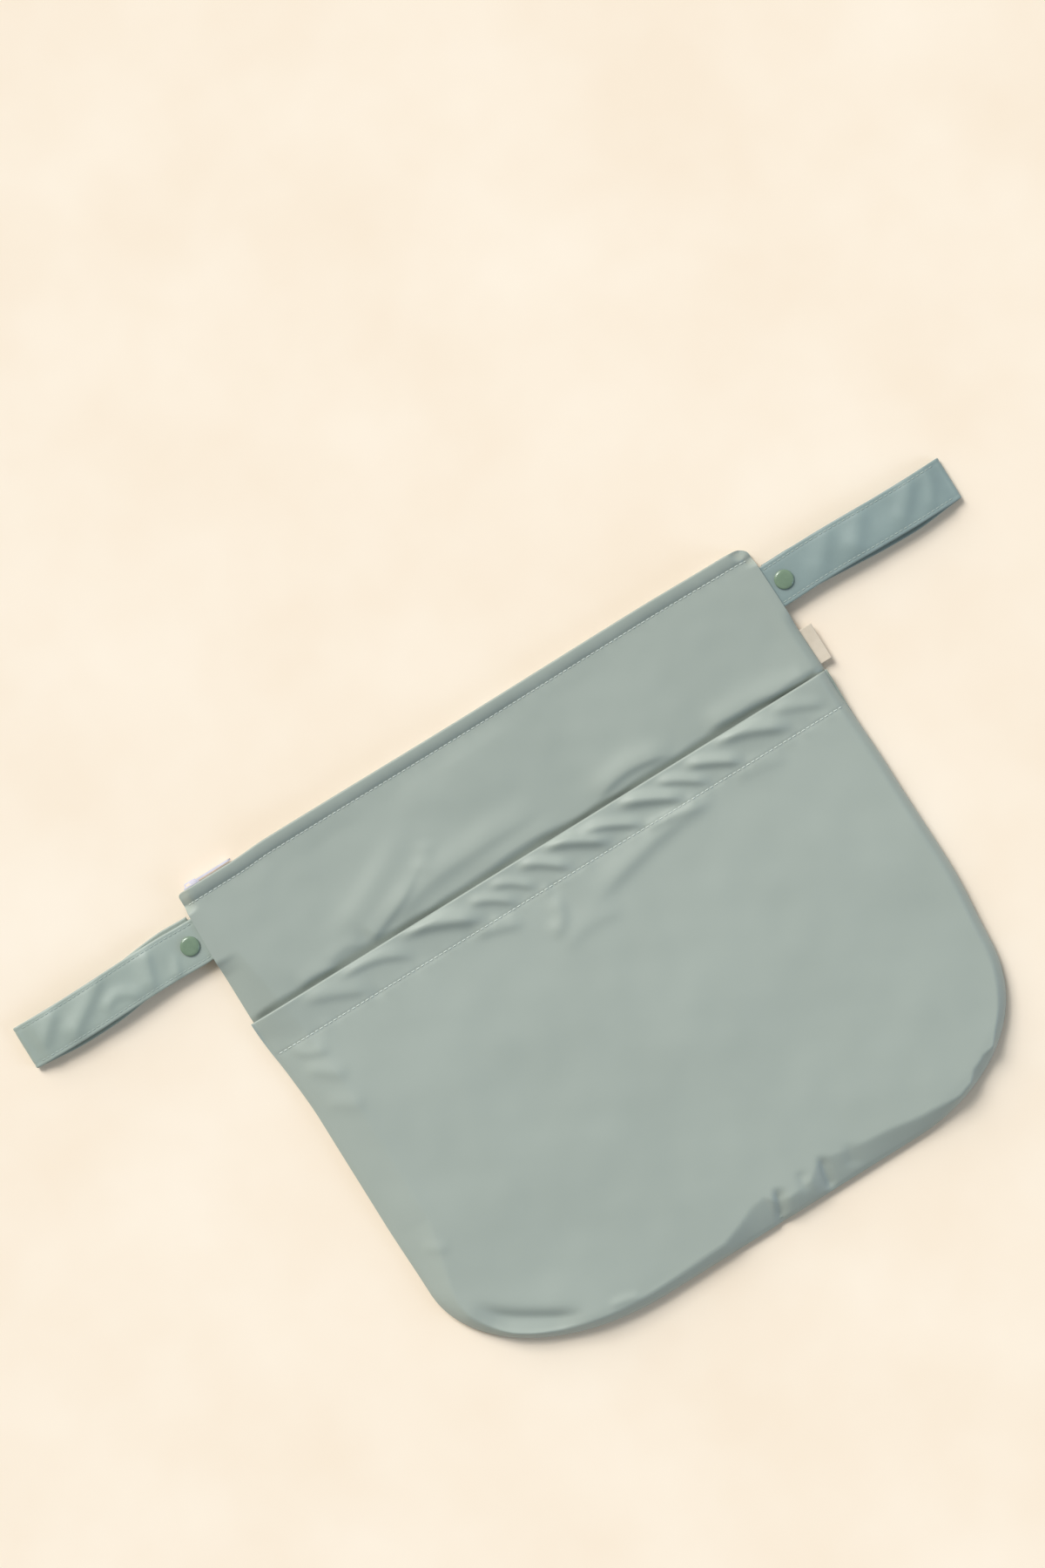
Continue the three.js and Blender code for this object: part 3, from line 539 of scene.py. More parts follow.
frontCreases = [
    # the notch at the pocket's mouth and the valley that runs up from it
    {"path": [(-104, 82), (-97, 84), (-86, 88), (-74, 93), (-62, 101), (-50, 109)],
     "steep": 2.6, "gentle": 7.0, "high": 1.5, "ends": (0.12, 0.8)},
    {"path": [(-124, 84), (-102, 92), (-84, 101), (-66, 110), (-44, 119)],
     "steep": 10.0, "gentle": 8.0, "high": 1.3, "ends": (0.35, 0.5)},
    {"path": [(-94, 82), (-80, 85.5), (-56, 91), (-20, 93), (24, 93)],
     "steep": 5.0, "gentle": 9.0, "high": 1.3, "ends": (0.2, 0.4)},
    {"path": [(-150, 81), (-138, 82), (-124, 81)], "steep": 2.0, "gentle": 6.0, "high": 0.8},
    {"path": [(-130, 83), (-117, 86), (-106, 83)], "steep": 2.4, "gentle": 5.0, "high": 0.7},
    {"path": [(-62, 96), (-52, 104), (-46, 114)], "steep": 5.0, "gentle": 5.0, "high": 0.6},
    {"path": [(-40, 82), (-8, 83), (24, 82)], "steep": 3.0, "gentle": 7.0, "high": 0.8},
    {"path": [(36, 81), (48, 85), (62, 87), (78, 85), (90, 81)], "steep": 3.0, "gentle": 8.0, "high": 1.8},
    {"path": [(106, 84), (124, 83), (150, 80.5), (176, 78)],
     "steep": 2.6, "gentle": 8.0, "high": 1.7, "ends": (0.2, 0.15)},
    {"path": [(-60, 128), (-30, 122), (10, 118)], "steep": 14, "gentle": 14, "high": 0.4},
]

# Slanting puckers where the hem's turning is drawn up by its stitches, and soft ones below it
pocketCreases = [
    {"path": [(-154, 74), (-136, 68), (-114, 58)], "steep": 3.0, "gentle": 6.0, "high": 1.1},
    {"path": [(-130, 74), (-112, 73), (-98, 69), (-86, 61)], "steep": 2.4, "gentle": 5.0, "high": 1.3},
    {"path": [(-92, 76), (-72, 72), (-42, 58)], "steep": 3.4, "gentle": 5.4, "high": 2.9},
    {"path": [(-51, 72), (-38, 67), (-24, 57)], "steep": 2.3, "gentle": 3.4, "high": 1.5},
    {"path": [(-36, 74), (-24, 69), (-12, 59)], "steep": 2.1, "gentle": 3.2, "high": 1.3},
    {"path": [(-18, 75), (-6, 70), (10, 58)], "steep": 2.5, "gentle": 3.8, "high": 1.9},
    {"path": [(-2, 77), (14, 71), (36, 58)], "steep": 3.0, "gentle": 4.4, "high": 2.9},
    {"path": [(20, 73), (36, 68), (56, 57)], "steep": 2.3, "gentle": 3.6, "high": 2.0},
    {"path": [(44, 75), (60, 69), (82, 57)], "steep": 3.0, "gentle": 4.2, "high": 2.9},
    {"path": [(68, 75), (82, 68), (97, 58)], "steep": 2.2, "gentle": 3.6, "high": 1.8},
    {"path": [(86, 74), (100, 68), (118, 58)], "steep": 2.5, "gentle": 4.0, "high": 2.3},
    {"path": [(106, 76), (126, 71), (150, 60)], "steep": 3.0, "gentle": 5.0, "high": 2.3},
    {"path": [(140, 74), (155, 69), (172, 61)], "steep": 2.6, "gentle": 4.4, "high": 1.0},
    {"path": [(-57, 55), (-43, 52), (-27, 46)], "steep": 3.0, "gentle": 5.0, "high": 1.0},
    {"path": [(-20, 30), (-8, 38), (-3, 54)], "steep": 4.0, "gentle": 5.0, "high": 1.2},
    {"path": [(-20, 22), (2, 27), (24, 24)], "steep": 5.0, "gentle": 8.0, "high": 0.7},
    {"path": [(2, 33), (22, 39), (42, 44), (68, 49), (98, 50)],
     "steep": 4.6, "gentle": 8.0, "high": 1.6, "ends": (0.35, 0.2)},
    {"path": [(48, 56), (66, 54), (90, 50)], "steep": 2.4, "gentle": 4.0, "high": 0.8},
    {"path": [(104, 54), (124, 51), (140, 47)], "steep": 4.0, "gentle": 6.0, "high": 0.6},
    {"path": [(-172, 55), (-163, 48), (-150, 44)], "steep": 2.6, "gentle": 4.6, "high": 0.7},
    {"path": [(-172, 42), (-162, 35), (-150, 26)], "steep": 3.4, "gentle": 5.0, "high": 0.7},
    {"path": [(-172, 21), (-160, 13), (-150, 8)], "steep": 4.0, "gentle": 5.0, "high": 0.5},
    {"path": [(-168, -72), (-160, -77), (-152, -80)], "steep": 3.0, "gentle": 4.0, "high": 0.4},
    # the valley inside the left corner, drawn back so that its far side is the steep one
    {"path": [(-106, -144), (-116, -141), (-129, -134), (-147, -122), (-158, -108)],
     "steep": 4.2, "gentle": 9.0, "high": -3.2, "ends": (0.3, 0.35)},
    {"path": [(-141, -148), (-146, -138), (-156, -126)], "steep": 2.4, "gentle": 3.0, "high": 0.7},
    {"path": [(-98, -151), (-87, -153), (-78, -156)], "steep": 2.0, "gentle": 3.0, "high": 0.7},
    # sharp valleys on both sides of the rounded fold at the bottom
    {"path": [(11.6, -141), (7, -152), (2, -164)],
     "steep": 1.7, "gentle": 4.0, "high": -2.8, "ends": (0.3, 0.12)},
    {"path": [(40, -139), (37.5, -148), (35.5, -160)],
     "steep": 1.8, "gentle": 3.4, "high": -2.2, "ends": (0.3, 0.2)},
    {"path": [(27, -140), (24, -147), (23, -154)], "steep": 2.4, "gentle": 3.0, "high": -0.8},
    {"path": [(56, -141), (53, -148), (50, -155)], "steep": 3.0, "gentle": 6.0, "high": -0.7},
]

# The bag's rounded edge, by places along the seam: reach is how far from the seam the cloth comes
# to its full height, rim the share of that height which it climbs at once. The reach is long where
# the front has sunk in loose folds towards the bottom seam.
edgeRows = [
    {"near": (-180, 150), "reach": 9.0, "rim": 0.15},
    {"near": (-178, 60), "reach": 22.0, "rim": 0.12},
    {"near": (-177, -60), "reach": 22.0, "rim": 0.12},
    {"near": (-169, -117), "reach": 6.0, "rim": 0.3},
    {"near": (-150, -138), "reach": 3.2, "rim": 0.35},
    {"near": (-140, -144), "reach": 3.2, "rim": 0.35},
    {"near": (-110, -154), "reach": 4.5, "rim": 0.35},
    {"near": (-56.5, -162), "reach": 6.1, "rim": 0.35},
    {"near": (-26.4, -162), "reach": 7.3, "rim": 0.35},
    {"near": (-15.2, -162), "reach": 11.3, "rim": 0.16},
    {"near": (-4.6, -162), "reach": 16.0, "rim": 0.16},
    {"near": (4, -162), "reach": 17.5, "rim": 0.16},
    {"near": (9, -162), "reach": 12.0, "rim": 0.3},
    {"near": (16, -161.5), "reach": 10.0, "rim": 0.3},
    {"near": (30, -161), "reach": 11.0, "rim": 0.3},
    {"near": (36, -161), "reach": 16.0, "rim": 0.16},
    {"near": (42, -160), "reach": 18.0, "rim": 0.16},
    {"near": (60.8, -160), "reach": 14.0, "rim": 0.16},
    {"near": (80.3, -160), "reach": 12.4, "rim": 0.16},
    {"near": (107.4, -158), "reach": 7.6, "rim": 0.35},
    {"near": (122, -155), "reach": 3.0, "rim": 0.4},
    {"near": (131, -152), "reach": 3.0, "rim": 0.35},
    {"near": (137, -149.5), "reach": 6.0, "rim": 0.3},
    {"near": (146, -144.5), "reach": 5.6, "rim": 0.3},
    {"near": (151, -141), "reach": 2.6, "rim": 0.35},
    {"near": (158, -135), "reach": 4.6, "rim": 0.35},
    {"near": (171, -120), "reach": 5.2, "rim": 0.4},
    {"near": (182, -60), "reach": 4.6, "rim": 0.4},
    {"near": (181, 60), "reach": 4.6, "rim": 0.4},
    {"near": (179, 140), "reach": 5.0, "rim": 0.4},
]

# The cloth's heights and thicknesses, and the distances that go with them
heights = {
    "seam": 2.0,
    "prop": 4.9,  # how far the snaps' stack lifts the seam at the straps
    "front": 9.4,  # underside of the front
    "pocket": 1.7,  # how much the pocket rises below its hem
    "mouthLevel": 7.4,  # underside of the front's hem over the zip
    "mouthReach": 80.0,  # how far from the mouth the front takes to rise
    "sunk": 2.1,  # how far the front goes down at the pocket's mouth
    "behind": 1.4,  # how much further it goes down behind the pocket
    "hemFold": 0.6,  # radius of a hem's folded edge
    "hemPuff": 2.2,
    "pocketPuff": 1.4,
    "stitchDip": 0.3,
    "panelCloth": 1.1,
    "strapCloth": 1.2,
    "labelCloth": 1.1,
}

strapOpening = bag["strapWidth"] / 2 + 2
labelOpening = bag["labelLength"] / 2 + 2
propEase = bag["labelDrop"] - bag["strapDrop"] - strapOpening - labelOpening


def nearStrap(y, ease):
    return smooth((strapOpening + ease - np.abs(y - strapMiddle)) / ease)


def seamLevel(y):
    upper = smooth((mouth - bag["mouthHem"] - y) / (bag["strapDrop"] - bag["mouthHem"] - strapOpening))
    return (heights["seam"] + (heights["prop"] - heights["seam"]) * nearStrap(y, propEase)) * upper


def seamOpening(x, y):
    label = smooth((labelOpening + 2 - np.abs(y - labelMiddle)) / 2)
    between = np.where((y < strapMiddle) & (y > labelMiddle), 1.0, 0.0)
    label = np.where(x > 0, np.maximum(label, between), 0)
    strap = nearStrap(y, 4)
    opening = np.maximum(heights["strapCloth"] * strap, heights["labelCloth"] * label)
    return opening + bag["gap"] * np.maximum(strap, label)


def seamPlaces(rows):
    near = np.array([row["near"] for row in rows], dtype=float) - centre
    return distanceToLine(near[:, 0], near[:, 1], seamLine)[2]


edgePlaces = seamPlaces(edgeRows)


# The rise of the cloth from a seam: a steep rim, an even slope and a crest at its reach
def fullness(distance, place):
    reach = np.interp(place, edgePlaces, [row["reach"] for row in edgeRows])
    share = np.interp(place, edgePlaces, [row["rim"] for row in edgeRows])
    rim = np.clip(reach * 0.3, 1.1, 2.4)
    climb = 1 - np.clip(1 - distance / rim, 0, 1) ** 1.6
    slope = 1 - np.clip(1 - (distance - rim * 0.5) / (reach - rim * 0.5), 0, 1) ** 1.14
    return share * climb + (1 - share) * np.clip(slope, 0, 1)


# A hem's puffed turning, highest near its folded edge and pressed flat at its stitches
def hemProfile(depth, hem, puff, fall):
    share = np.clip(depth / hem, 0, 1)
    crest = 0.5 / hem
    bump = np.sqrt(np.minimum(share, crest) / crest) * (1 - fall(share))
    return heights["panelCloth"] + puff * bump


def lateFall(share):
    return share ** 2.4


def foldedEdge(depth):
    near = 1 - np.clip(depth / heights["hemFold"], 0, 1)
    return np.maximum(0.12, np.sqrt(1 - near ** 2))


stitches = {"pitch": 2.9, "long": 2.2, "thick": 0.56, "sink": 0.3}


def stitchDip(depth, hem, x):
    dimples = 0.8 + 0.2 * np.cos(2 * math.pi * x / stitches["pitch"])
    return heights["stitchDip"] * dimples * bell(depth - hem, 0.8)


# Soft waves of the cloth: how high they are, how long, and the seed of their directions
waves = {
    "back": {"high": 0.075, "long": 60, "seed": 3},
    "frontBroad": {"high": 0.3, "long": 85, "seed": 11},
    "frontFine": {"high": 0.05, "long": 21, "seed": 12},
    "mouthGathers": {"high": 0.07, "long": 7, "seed": 13},
    "sinkWidth": {"high": 0.5, "long": 24, "seed": 14},
    "mouthPuff": {"high": 0.1, "long": 40, "seed": 15},
    "pocketBroad": {"high": 0.3, "long": 85, "seed": 21},
    "pocketFine": {"high": 0.07, "long": 26, "seed": 22},
    "pocketGathers": {"high": 0.12, "long": 7, "seed": 23},
    "strap": {"high": 0.15, "long": 26, "seed": 31},
}


def wavesOf(name, x, y):
    wave = waves[name]
    return wave["high"] * unevenness(x, y, wave["long"], wave["seed"])


# Small gathers drawn up along a row of stitches
def gathers(name, x, y, away, wide):
    return wavesOf(name, x, y * 0.4) * bell(away, wide)


# Underside and top of a wall, rounded about its middle where it turns over at its edge
def foldedWall(low, depth, hem, puff, fall):
    thick = np.where(depth < hem, hemProfile(depth, hem, puff, fall), heights["panelCloth"])
    fold = foldedEdge(depth)
    middle = low + thick / 2
    return middle - thick / 2 * fold, middle + thick / 2 * fold


back = {
    "edge": 12.7,  # how far in the cloth comes down from the seam to the surface
    "waves": 20,  # how far in its waves come to their full height
    "hemPuff": 0.8,
}


# Underside and top of the back
def backHeights(x, y, distance, place):
    low = seamLevel(y) * (1 - np.minimum(1, distance / back["edge"])) ** 2
    low += smooth(distance / back["waves"]) * (waves["back"]["high"] + wavesOf("back", x, y))
    depth = mouth - mouthDip(x) - y
    hem = hemProfile(depth, bag["mouthHem"], back["hemPuff"], smooth)
    thick = np.where(depth < bag["mouthHem"], hem, bag["cloth"]) * foldedEdge(depth)
    return np.maximum(0.0, low), low + thick


# How far the front goes down towards the pocket's mouth: narrow, and wider at a few places
mouthLine = [
    {"at": -0.5, "wide": 3.6},
    {"at": -0.43, "wide": 4.4},
    {"at": -0.3, "wide": 6.2},
    {"at": -0.2, "wide": 4.0},
    {"at": -0.08, "wide": 4.4},
    {"at": 0.0, "wide": 6.2},
    {"at": 0.08, "wide": 3.8},
    {"at": 0.2, "wide": 4.4},
    {"at": 0.36, "wide": 6.2},
    {"at": 0.5, "wide": 4.0},
]


# Distances over which the front's forms come and go, from the seam where nothing else is named
front = {
    "rise": 7,  # its rise from the seam beside the mouth
    "edgeRows": 30,  # how far below the mouth the rise follows the edge's rows
    "level": 40,  # how far in the mouth comes down to its level
    "creases": 14,
    "belowHem": 12,  # how far below the hem the creases come to their full height
    "sinkEdge": 8,
    "sinkLeast": 0.4,  # share of the sinking right at the seam
    "behindSlope": 12,
    "hollow": 0.35,  # depth of the broad hollow along the pocket's mouth
    "hollowWide": 11,
    "stitchesBelow": 0.6,  # share of the stitches' dip that reaches into the hem
    "puffLeast": 0.5,  # share of the hem's puff right at the seam
    "puffEdge": 9,
}


# Underside and top of the front
def frontHeights(x, y, distance, place):
    edge = seamLevel(y) + bag["cloth"] + bag["gap"] * 0.5 + seamOpening(x, y)
    depth = mouth - mouthDip(x) - y
    fromHem = depth - bag["mouthHem"]
    inner = mix(heights["mouthLevel"], heights["front"], np.clip(depth / heights["mouthReach"], 0, 1))
    inner = mix(np.maximum(edge, inner), inner, smooth(distance / front["level"]))
    besideMouth = smooth(distance / front["rise"])
    rise = mix(besideMouth, fullness(distance, place), smooth(depth / front["edgeRows"]))
    low = edge + (inner - edge) * rise
    calm = smooth(distance / front["creases"]) * smooth(fromHem / front["belowHem"])
    shape = creasesAt(x, y, frontCreases) + wavesOf("frontBroad", x, y) + wavesOf("frontFine", x, y)
    low += shape * calm
    toPocket = y - pocketMouth
    wide = readTable(mouthLine, "wide", x / bagWidth) + wavesOf("sinkWidth", x, x * 0)
    sinking = 1 - smooth((toPocket + 1) / (wide + 1))
    low -= heights["sunk"] * sinking * mix(front["sinkLeast"], 1, smooth(distance / front["sinkEdge"]))
    behind = smooth((-toPocket - 3) / front["behindSlope"]) * smooth((distance - 4) / front["behindSlope"])
    low -= heights["behind"] * behind
    low -= front["hollow"] * bell(np.maximum(0, toPocket), front["hollowWide"]) * smooth(distance / 12)
    share = np.where(fromHem > 0, 0, front["stitchesBelow"])
    low -= stitchDip(depth, bag["mouthHem"], x) * smooth(distance / 3) * share
    low += gathers("mouthGathers", x, y, fromHem, 3)
    puff = heights["hemPuff"] * mix(front["puffLeast"], 1, smooth((distance + 1) / front["puffEdge"]))
    puff = puff * (1 + wavesOf("mouthPuff", x, y * 0))
    return foldedWall(low, depth, bag["mouthHem"], puff, lateFall)


# Distances over which the pocket's forms come and go, as the front's do
pocket = {
    "lap": 14,  # how far below its mouth the pocket's edge still lies over the front's
    "stack": 0.45,  # how far the pocket lies above the sunk front
    "bellied": 70,  # how far below its hem it rises to its full height
    "calm": 9,
    "creaseLeast": 0.55,  # share of the creases right at the seam
    "creaseEdge": 6,
    "mouthLeast": 0.35,  # share of the creases right at the folded edge
    "puffEdge": 12,
}


# Underside and top of the pocket
def pocketHeights(x, y, distance, place):
    depth = pocketMouth - y
    edge = seamLevel(y) + bag["cloth"] + bag["gap"] * 0.5
    edge = edge + (bag["cloth"] + bag["gap"]) * (1 - smooth(depth / pocket["lap"]))
    over = heights["front"] + bag["cloth"] + bag["gap"] - heights["sunk"] + pocket["stack"]
    over += heights["pocket"] * smooth((depth - bag["pocketHem"]) / pocket["bellied"])
    low = edge + (over - edge) * fullness(distance, place)
    calm = smooth(distance / pocket["calm"])
    nearSeam = mix(pocket["creaseLeast"], 1, smooth(distance / pocket["creaseEdge"]))
    shape = creasesAt(x, y, pocketCreases) * nearSeam
    shape += (wavesOf("pocketBroad", x, y) + wavesOf("pocketFine", x, y)) * calm
    low += shape * mix(pocket["mouthLeast"], 1, smooth(depth / 4))
    low -= stitchDip(depth, bag["pocketHem"], x) * smooth(distance / 3)
    low += gathers("pocketGathers", x, y, depth - bag["pocketHem"], 3.5) * calm
    puff = heights["pocketPuff"] * smooth((distance + 2) / pocket["puffEdge"])
    return foldedWall(low, depth, bag["pocketHem"], puff, smooth)


def toPoints(x, y, z):
    return np.stack([x + centre[0], y + centre[1], z], -1)


fineSteps = np.array([-1.7, -1.0, -0.5, -0.2, 0.0, 0.2, 0.5, 1.0, 1.7])


# Row heights from the top down, closer together at a folded edge and at the lines of fine shapes
def rowsBetween(top, bottom, step, fine=()):
    rows = np.linspace(top, bottom, max(2, round((top - bottom) / step)) + 1)
    for line in fine:
        rows = np.concatenate([rows[np.abs(rows - line) > 2.0], line + fineSteps])
    rows = np.unique(np.clip(rows, bottom, top))[::-1]
    return rows[np.concatenate([[True], np.diff(rows) < -0.05])]


# Each panel as it is cut: its flat size in metres, its area, its cloth and what it lies on
cut = {
    "back_panel": {"size": (0.3626, 0.3216), "area": 0.1085, "cloth": bagCloth, "on": []},
    "front_panel": {"size": (0.3626, 0.3216), "area": 0.1085, "cloth": frontCloth, "on": ["back_cloth"]},
    "pocket_panel": {"size": (0.3626, 0.2402), "area": 0.0790, "cloth": bagCloth, "on": ["front_cloth"]},
}


def panelPiece(name, node, heightsOf, rows, shares, columns, inset=None):
    x, y = planGrid(rows, shares, columns)
    if inset:
        x, y = inset(x, y)
    distance, _, place = distanceToLine(x, y, seamLine)
    low, high = heightsOf(x, y, distance, place)
    flat = cut[node]
    piece = wallPiece(name, toPoints(x, y, high), toPoints(x, y, low), flat["cloth"])
    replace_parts(piece, node)
    print(name, "made:", len(piece.data.polygons), "faces")


# Behind the pocket the front stays a little inside the pocket's turned edge
def behindPocket(x, y):
    inset = bag["behindInset"] * smooth((pocketMouth - 2 - y) / 14)
    return x - inset * x / halfWidth, y + inset * smooth(-y / mouth)


# The pocket's corners stand out a little past the upper panel's edge
def pocketCorners(x, y):
    corner = (1 - smooth((pocketMouth - y) / 34)) * smooth((np.abs(x) / halfWidth - 0.8) / 0.2)
    return x + np.where(x < 0, *bag["pocketOut"]) * corner, y


frontGrid, pocketGrid = bag["frontGrid"], bag["pocketGrid"]
fineRows = (mouth, mouth - bag["mouthHem"], pocketMouth + 1.5)
upperRows = rowsBetween(mouth, pocketMouth - 6, frontGrid, fineRows)
hiddenRows = rowsBetween(pocketMouth - 6, pocketStitch, 5.0)[1:]
hemRows = rowsBetween(pocketMouth, pocketStitch, pocketGrid, (pocketMouth, pocketStitch + 1.0))
backRows = rowsBetween(mouth, pocketStitch, 3.0, (mouth,))

panelPiece("back_cloth", "back_panel", backHeights, backRows, lowerLines(3.2)[1:], columnLines(3.2))
panelPiece("front_cloth", "front_panel", frontHeights, np.concatenate([upperRows, hiddenRows]),
           lowerLines(5.0)[1:], columnLines(frontGrid), behindPocket)
panelPiece("pocket_cloth", "pocket_panel", pocketHeights, hemRows, lowerLines(pocketGrid)[1:],
           columnLines(pocketGrid), pocketCorners)


# Topstitches: short bent lengths of thread that dip into the cloth at both ends
def stitchesAlong(line):
    lengths = lengthsAlong(line)
    count = int(lengths[-1] / stitches["pitch"])
    shares = np.array([0.0, 0.12, 0.5, 0.88, 1.0])
    sink = np.array([1.0, 0.1, 0.0, 0.1, 1.0]) * stitches["sink"]
    radii = np.array([0.55, 0.9, 1.0, 0.9, 0.55]) * stitches["thick"] / 2
    rings = []
    for i in range(count):
        start = i * stitches["pitch"] + (stitches["pitch"] - stitches["long"]) / 2
        points = alongLine(line, (start + shares * stitches["long"]) / lengths[-1])
        points[:, 2] -= sink
        rings.append(roundRings(points, radii, 7))
    return rings


def stitchLineOn(heightsOf, y, inset):
    x = np.linspace(float(sideEdge(-1, y)) + inset, float(sideEdge(1, y)) - inset, 700)
    at = y - (mouthDip(x) if y > pocketMouth else 0)
    at = np.broadcast_to(at, x.shape).copy()
    distance, _, place = distanceToLine(x, at, seamLine)
    _, high = heightsOf(x, at, distance, place)
    return toPoints(x, at, high + stitches["thick"] * 0.25)


tubesPiece("stitches_mouth", stitchesAlong(stitchLineOn(frontHeights, mouth - bag["mouthHem"], 2.5)),
           sewingThread)
tubesPiece("stitches_pocket", stitchesAlong(stitchLineOn(pocketHeights, pocketStitch, 2.5)),
           sewingThread)
print("stitches made")


# Strap loops: a doubled cloth band folded back on itself, with a row of stitches along each edge.
# Out runs from the side seam along the strap, across runs from its middle towards the mouth.

strap = {
    "width": bag["strapWidth"],
    "cloth": 1.2,
    "tail": 7.0,
    "fold": 1.8,  # radius of the fold at the end
    "arch": 1.7,
    "stitchInset": 2.3,
    "snapOut": 7.6,
    "snap": 10.7,
    "capHeight": 1.4,
    "post": 1.5,  # radius of the snap's post
    "snapGap": 0.2,
}
snapTop = nodeBox("snap_cap_left")[1][2]

# Heights of the band's middle: under the upper cap, over the lower one and on the surface
strapLevels = {
    "upper": snapTop - strap["capHeight"] - strap["snapGap"] - strap["cloth"] / 2,
    "lower": strap["capHeight"] + strap["snapGap"] + strap["cloth"] / 2,
    "ground": strap["cloth"] / 2,
}

# Soft slanting creases of each strap, and how far its lower layer lies out of line, as (out, drift)
strapLooks = {
    "left": {
        "creases": [
            {"path": [(-283, 122), (-274, 131), (-262, 142)], "steep": 4.0, "gentle": 5.0, "high": 1.1},
            {"path": [(-268, 118), (-254, 128), (-243, 135), (-231, 144)],
             "steep": 4.2, "gentle": 6.0, "high": 1.5, "ends": (0.25, 0.25)},
            {"path": [(-244, 122), (-234, 127.5), (-220, 119)], "steep": 3.0, "gentle": 4.6, "high": 0.9},
            {"path": [(-214, 118), (-210, 131), (-205, 144)], "steep": 3.4, "gentle": 6.0, "high": 1.3},
            {"path": [(-200, 117), (-196, 124), (-190, 131)], "steep": 2.6, "gentle": 4.0, "high": 1.1},
        ],
        "drift": [(0, 2.2), (18, 2.6), (35, 1.0), (60, -1.8), (85, -1.9), (105, -0.3), (112, 0)],
        "cloth": leftStrapCloth,
    },
    "right": {
        "creases": [
            {"path": [(203, 118), (214, 129), (226, 144)], "steep": 5.0, "gentle": 6.0, "high": 0.9},
            {"path": [(226, 118), (236, 130), (246, 144)], "steep": 5.0, "gentle": 6.0, "high": 1.2},
            {"path": [(254, 119), (266, 131), (277, 144)], "steep": 4.4, "gentle": 6.0, "high": 1.2},
            {"path": [(274, 119), (281, 130), (288, 141)], "steep": 3.0, "gentle": 4.0, "high": 0.7},
        ],
        "drift": [(0, 0.6), (18, 0.4), (35, -0.8), (60, -2.0), (85, -2.2), (105, -0.4), (112, 0)],
        # this strap's cloth carries painted shade and painted cool light
        "cloth": rightStrapClothPaintedShade,
    },
}


# The band's middle line in (out, height): along the top, round the fold and back on the ground
def strapLine(reach):
    fold = reach - strap["cloth"] / 2 - strap["fold"]
    capEdge = strap["snapOut"] + strap["snap"] / 2
    upper, lower, ground = strapLevels["upper"], strapLevels["lower"], strapLevels["ground"]
    out = np.linspace(-strap["tail"], fold, 150)
    share = np.clip((out - capEdge) / (fold - 5 - capEdge), 0, 1)
    drop = (upper - ground - 2 * strap["fold"]) * smooth((out - fold + 9) / 9)
    top = np.stack([out, upper + strap["arch"] * np.sin(math.pi * share) - drop], 1)
    angles = np.linspace(math.pi / 2, -math.pi / 2, 12)[1:-1]
    turn = np.stack([
        fold + strap["fold"] * np.cos(angles), ground + strap["fold"] * (1 + np.sin(angles)),
    ], 1)
    out = np.linspace(fold, strap["snapOut"] - strap["snap"] / 2 - 0.5, 90)
    back = np.stack([out, ground + (lower - ground) * smooth((capEdge + 8 - out) / 8)], 1)
    return np.concatenate([top, turn, back]), len(top), len(top) + len(turn)


# The band's section: rounded edges, a soft bead outside each row of stitches
def bandThickness(across):
    edge = strap["width"] / 2 - np.abs(across)
    fold = np.sqrt(1 - (1 - np.clip(edge / 0.7, 0, 1)) ** 2)
    dip = 0.3 * bell(edge - strap["stitchInset"], 0.7)
    return strap["cloth"] * np.maximum(0.15, fold) * (1.0 - dip)


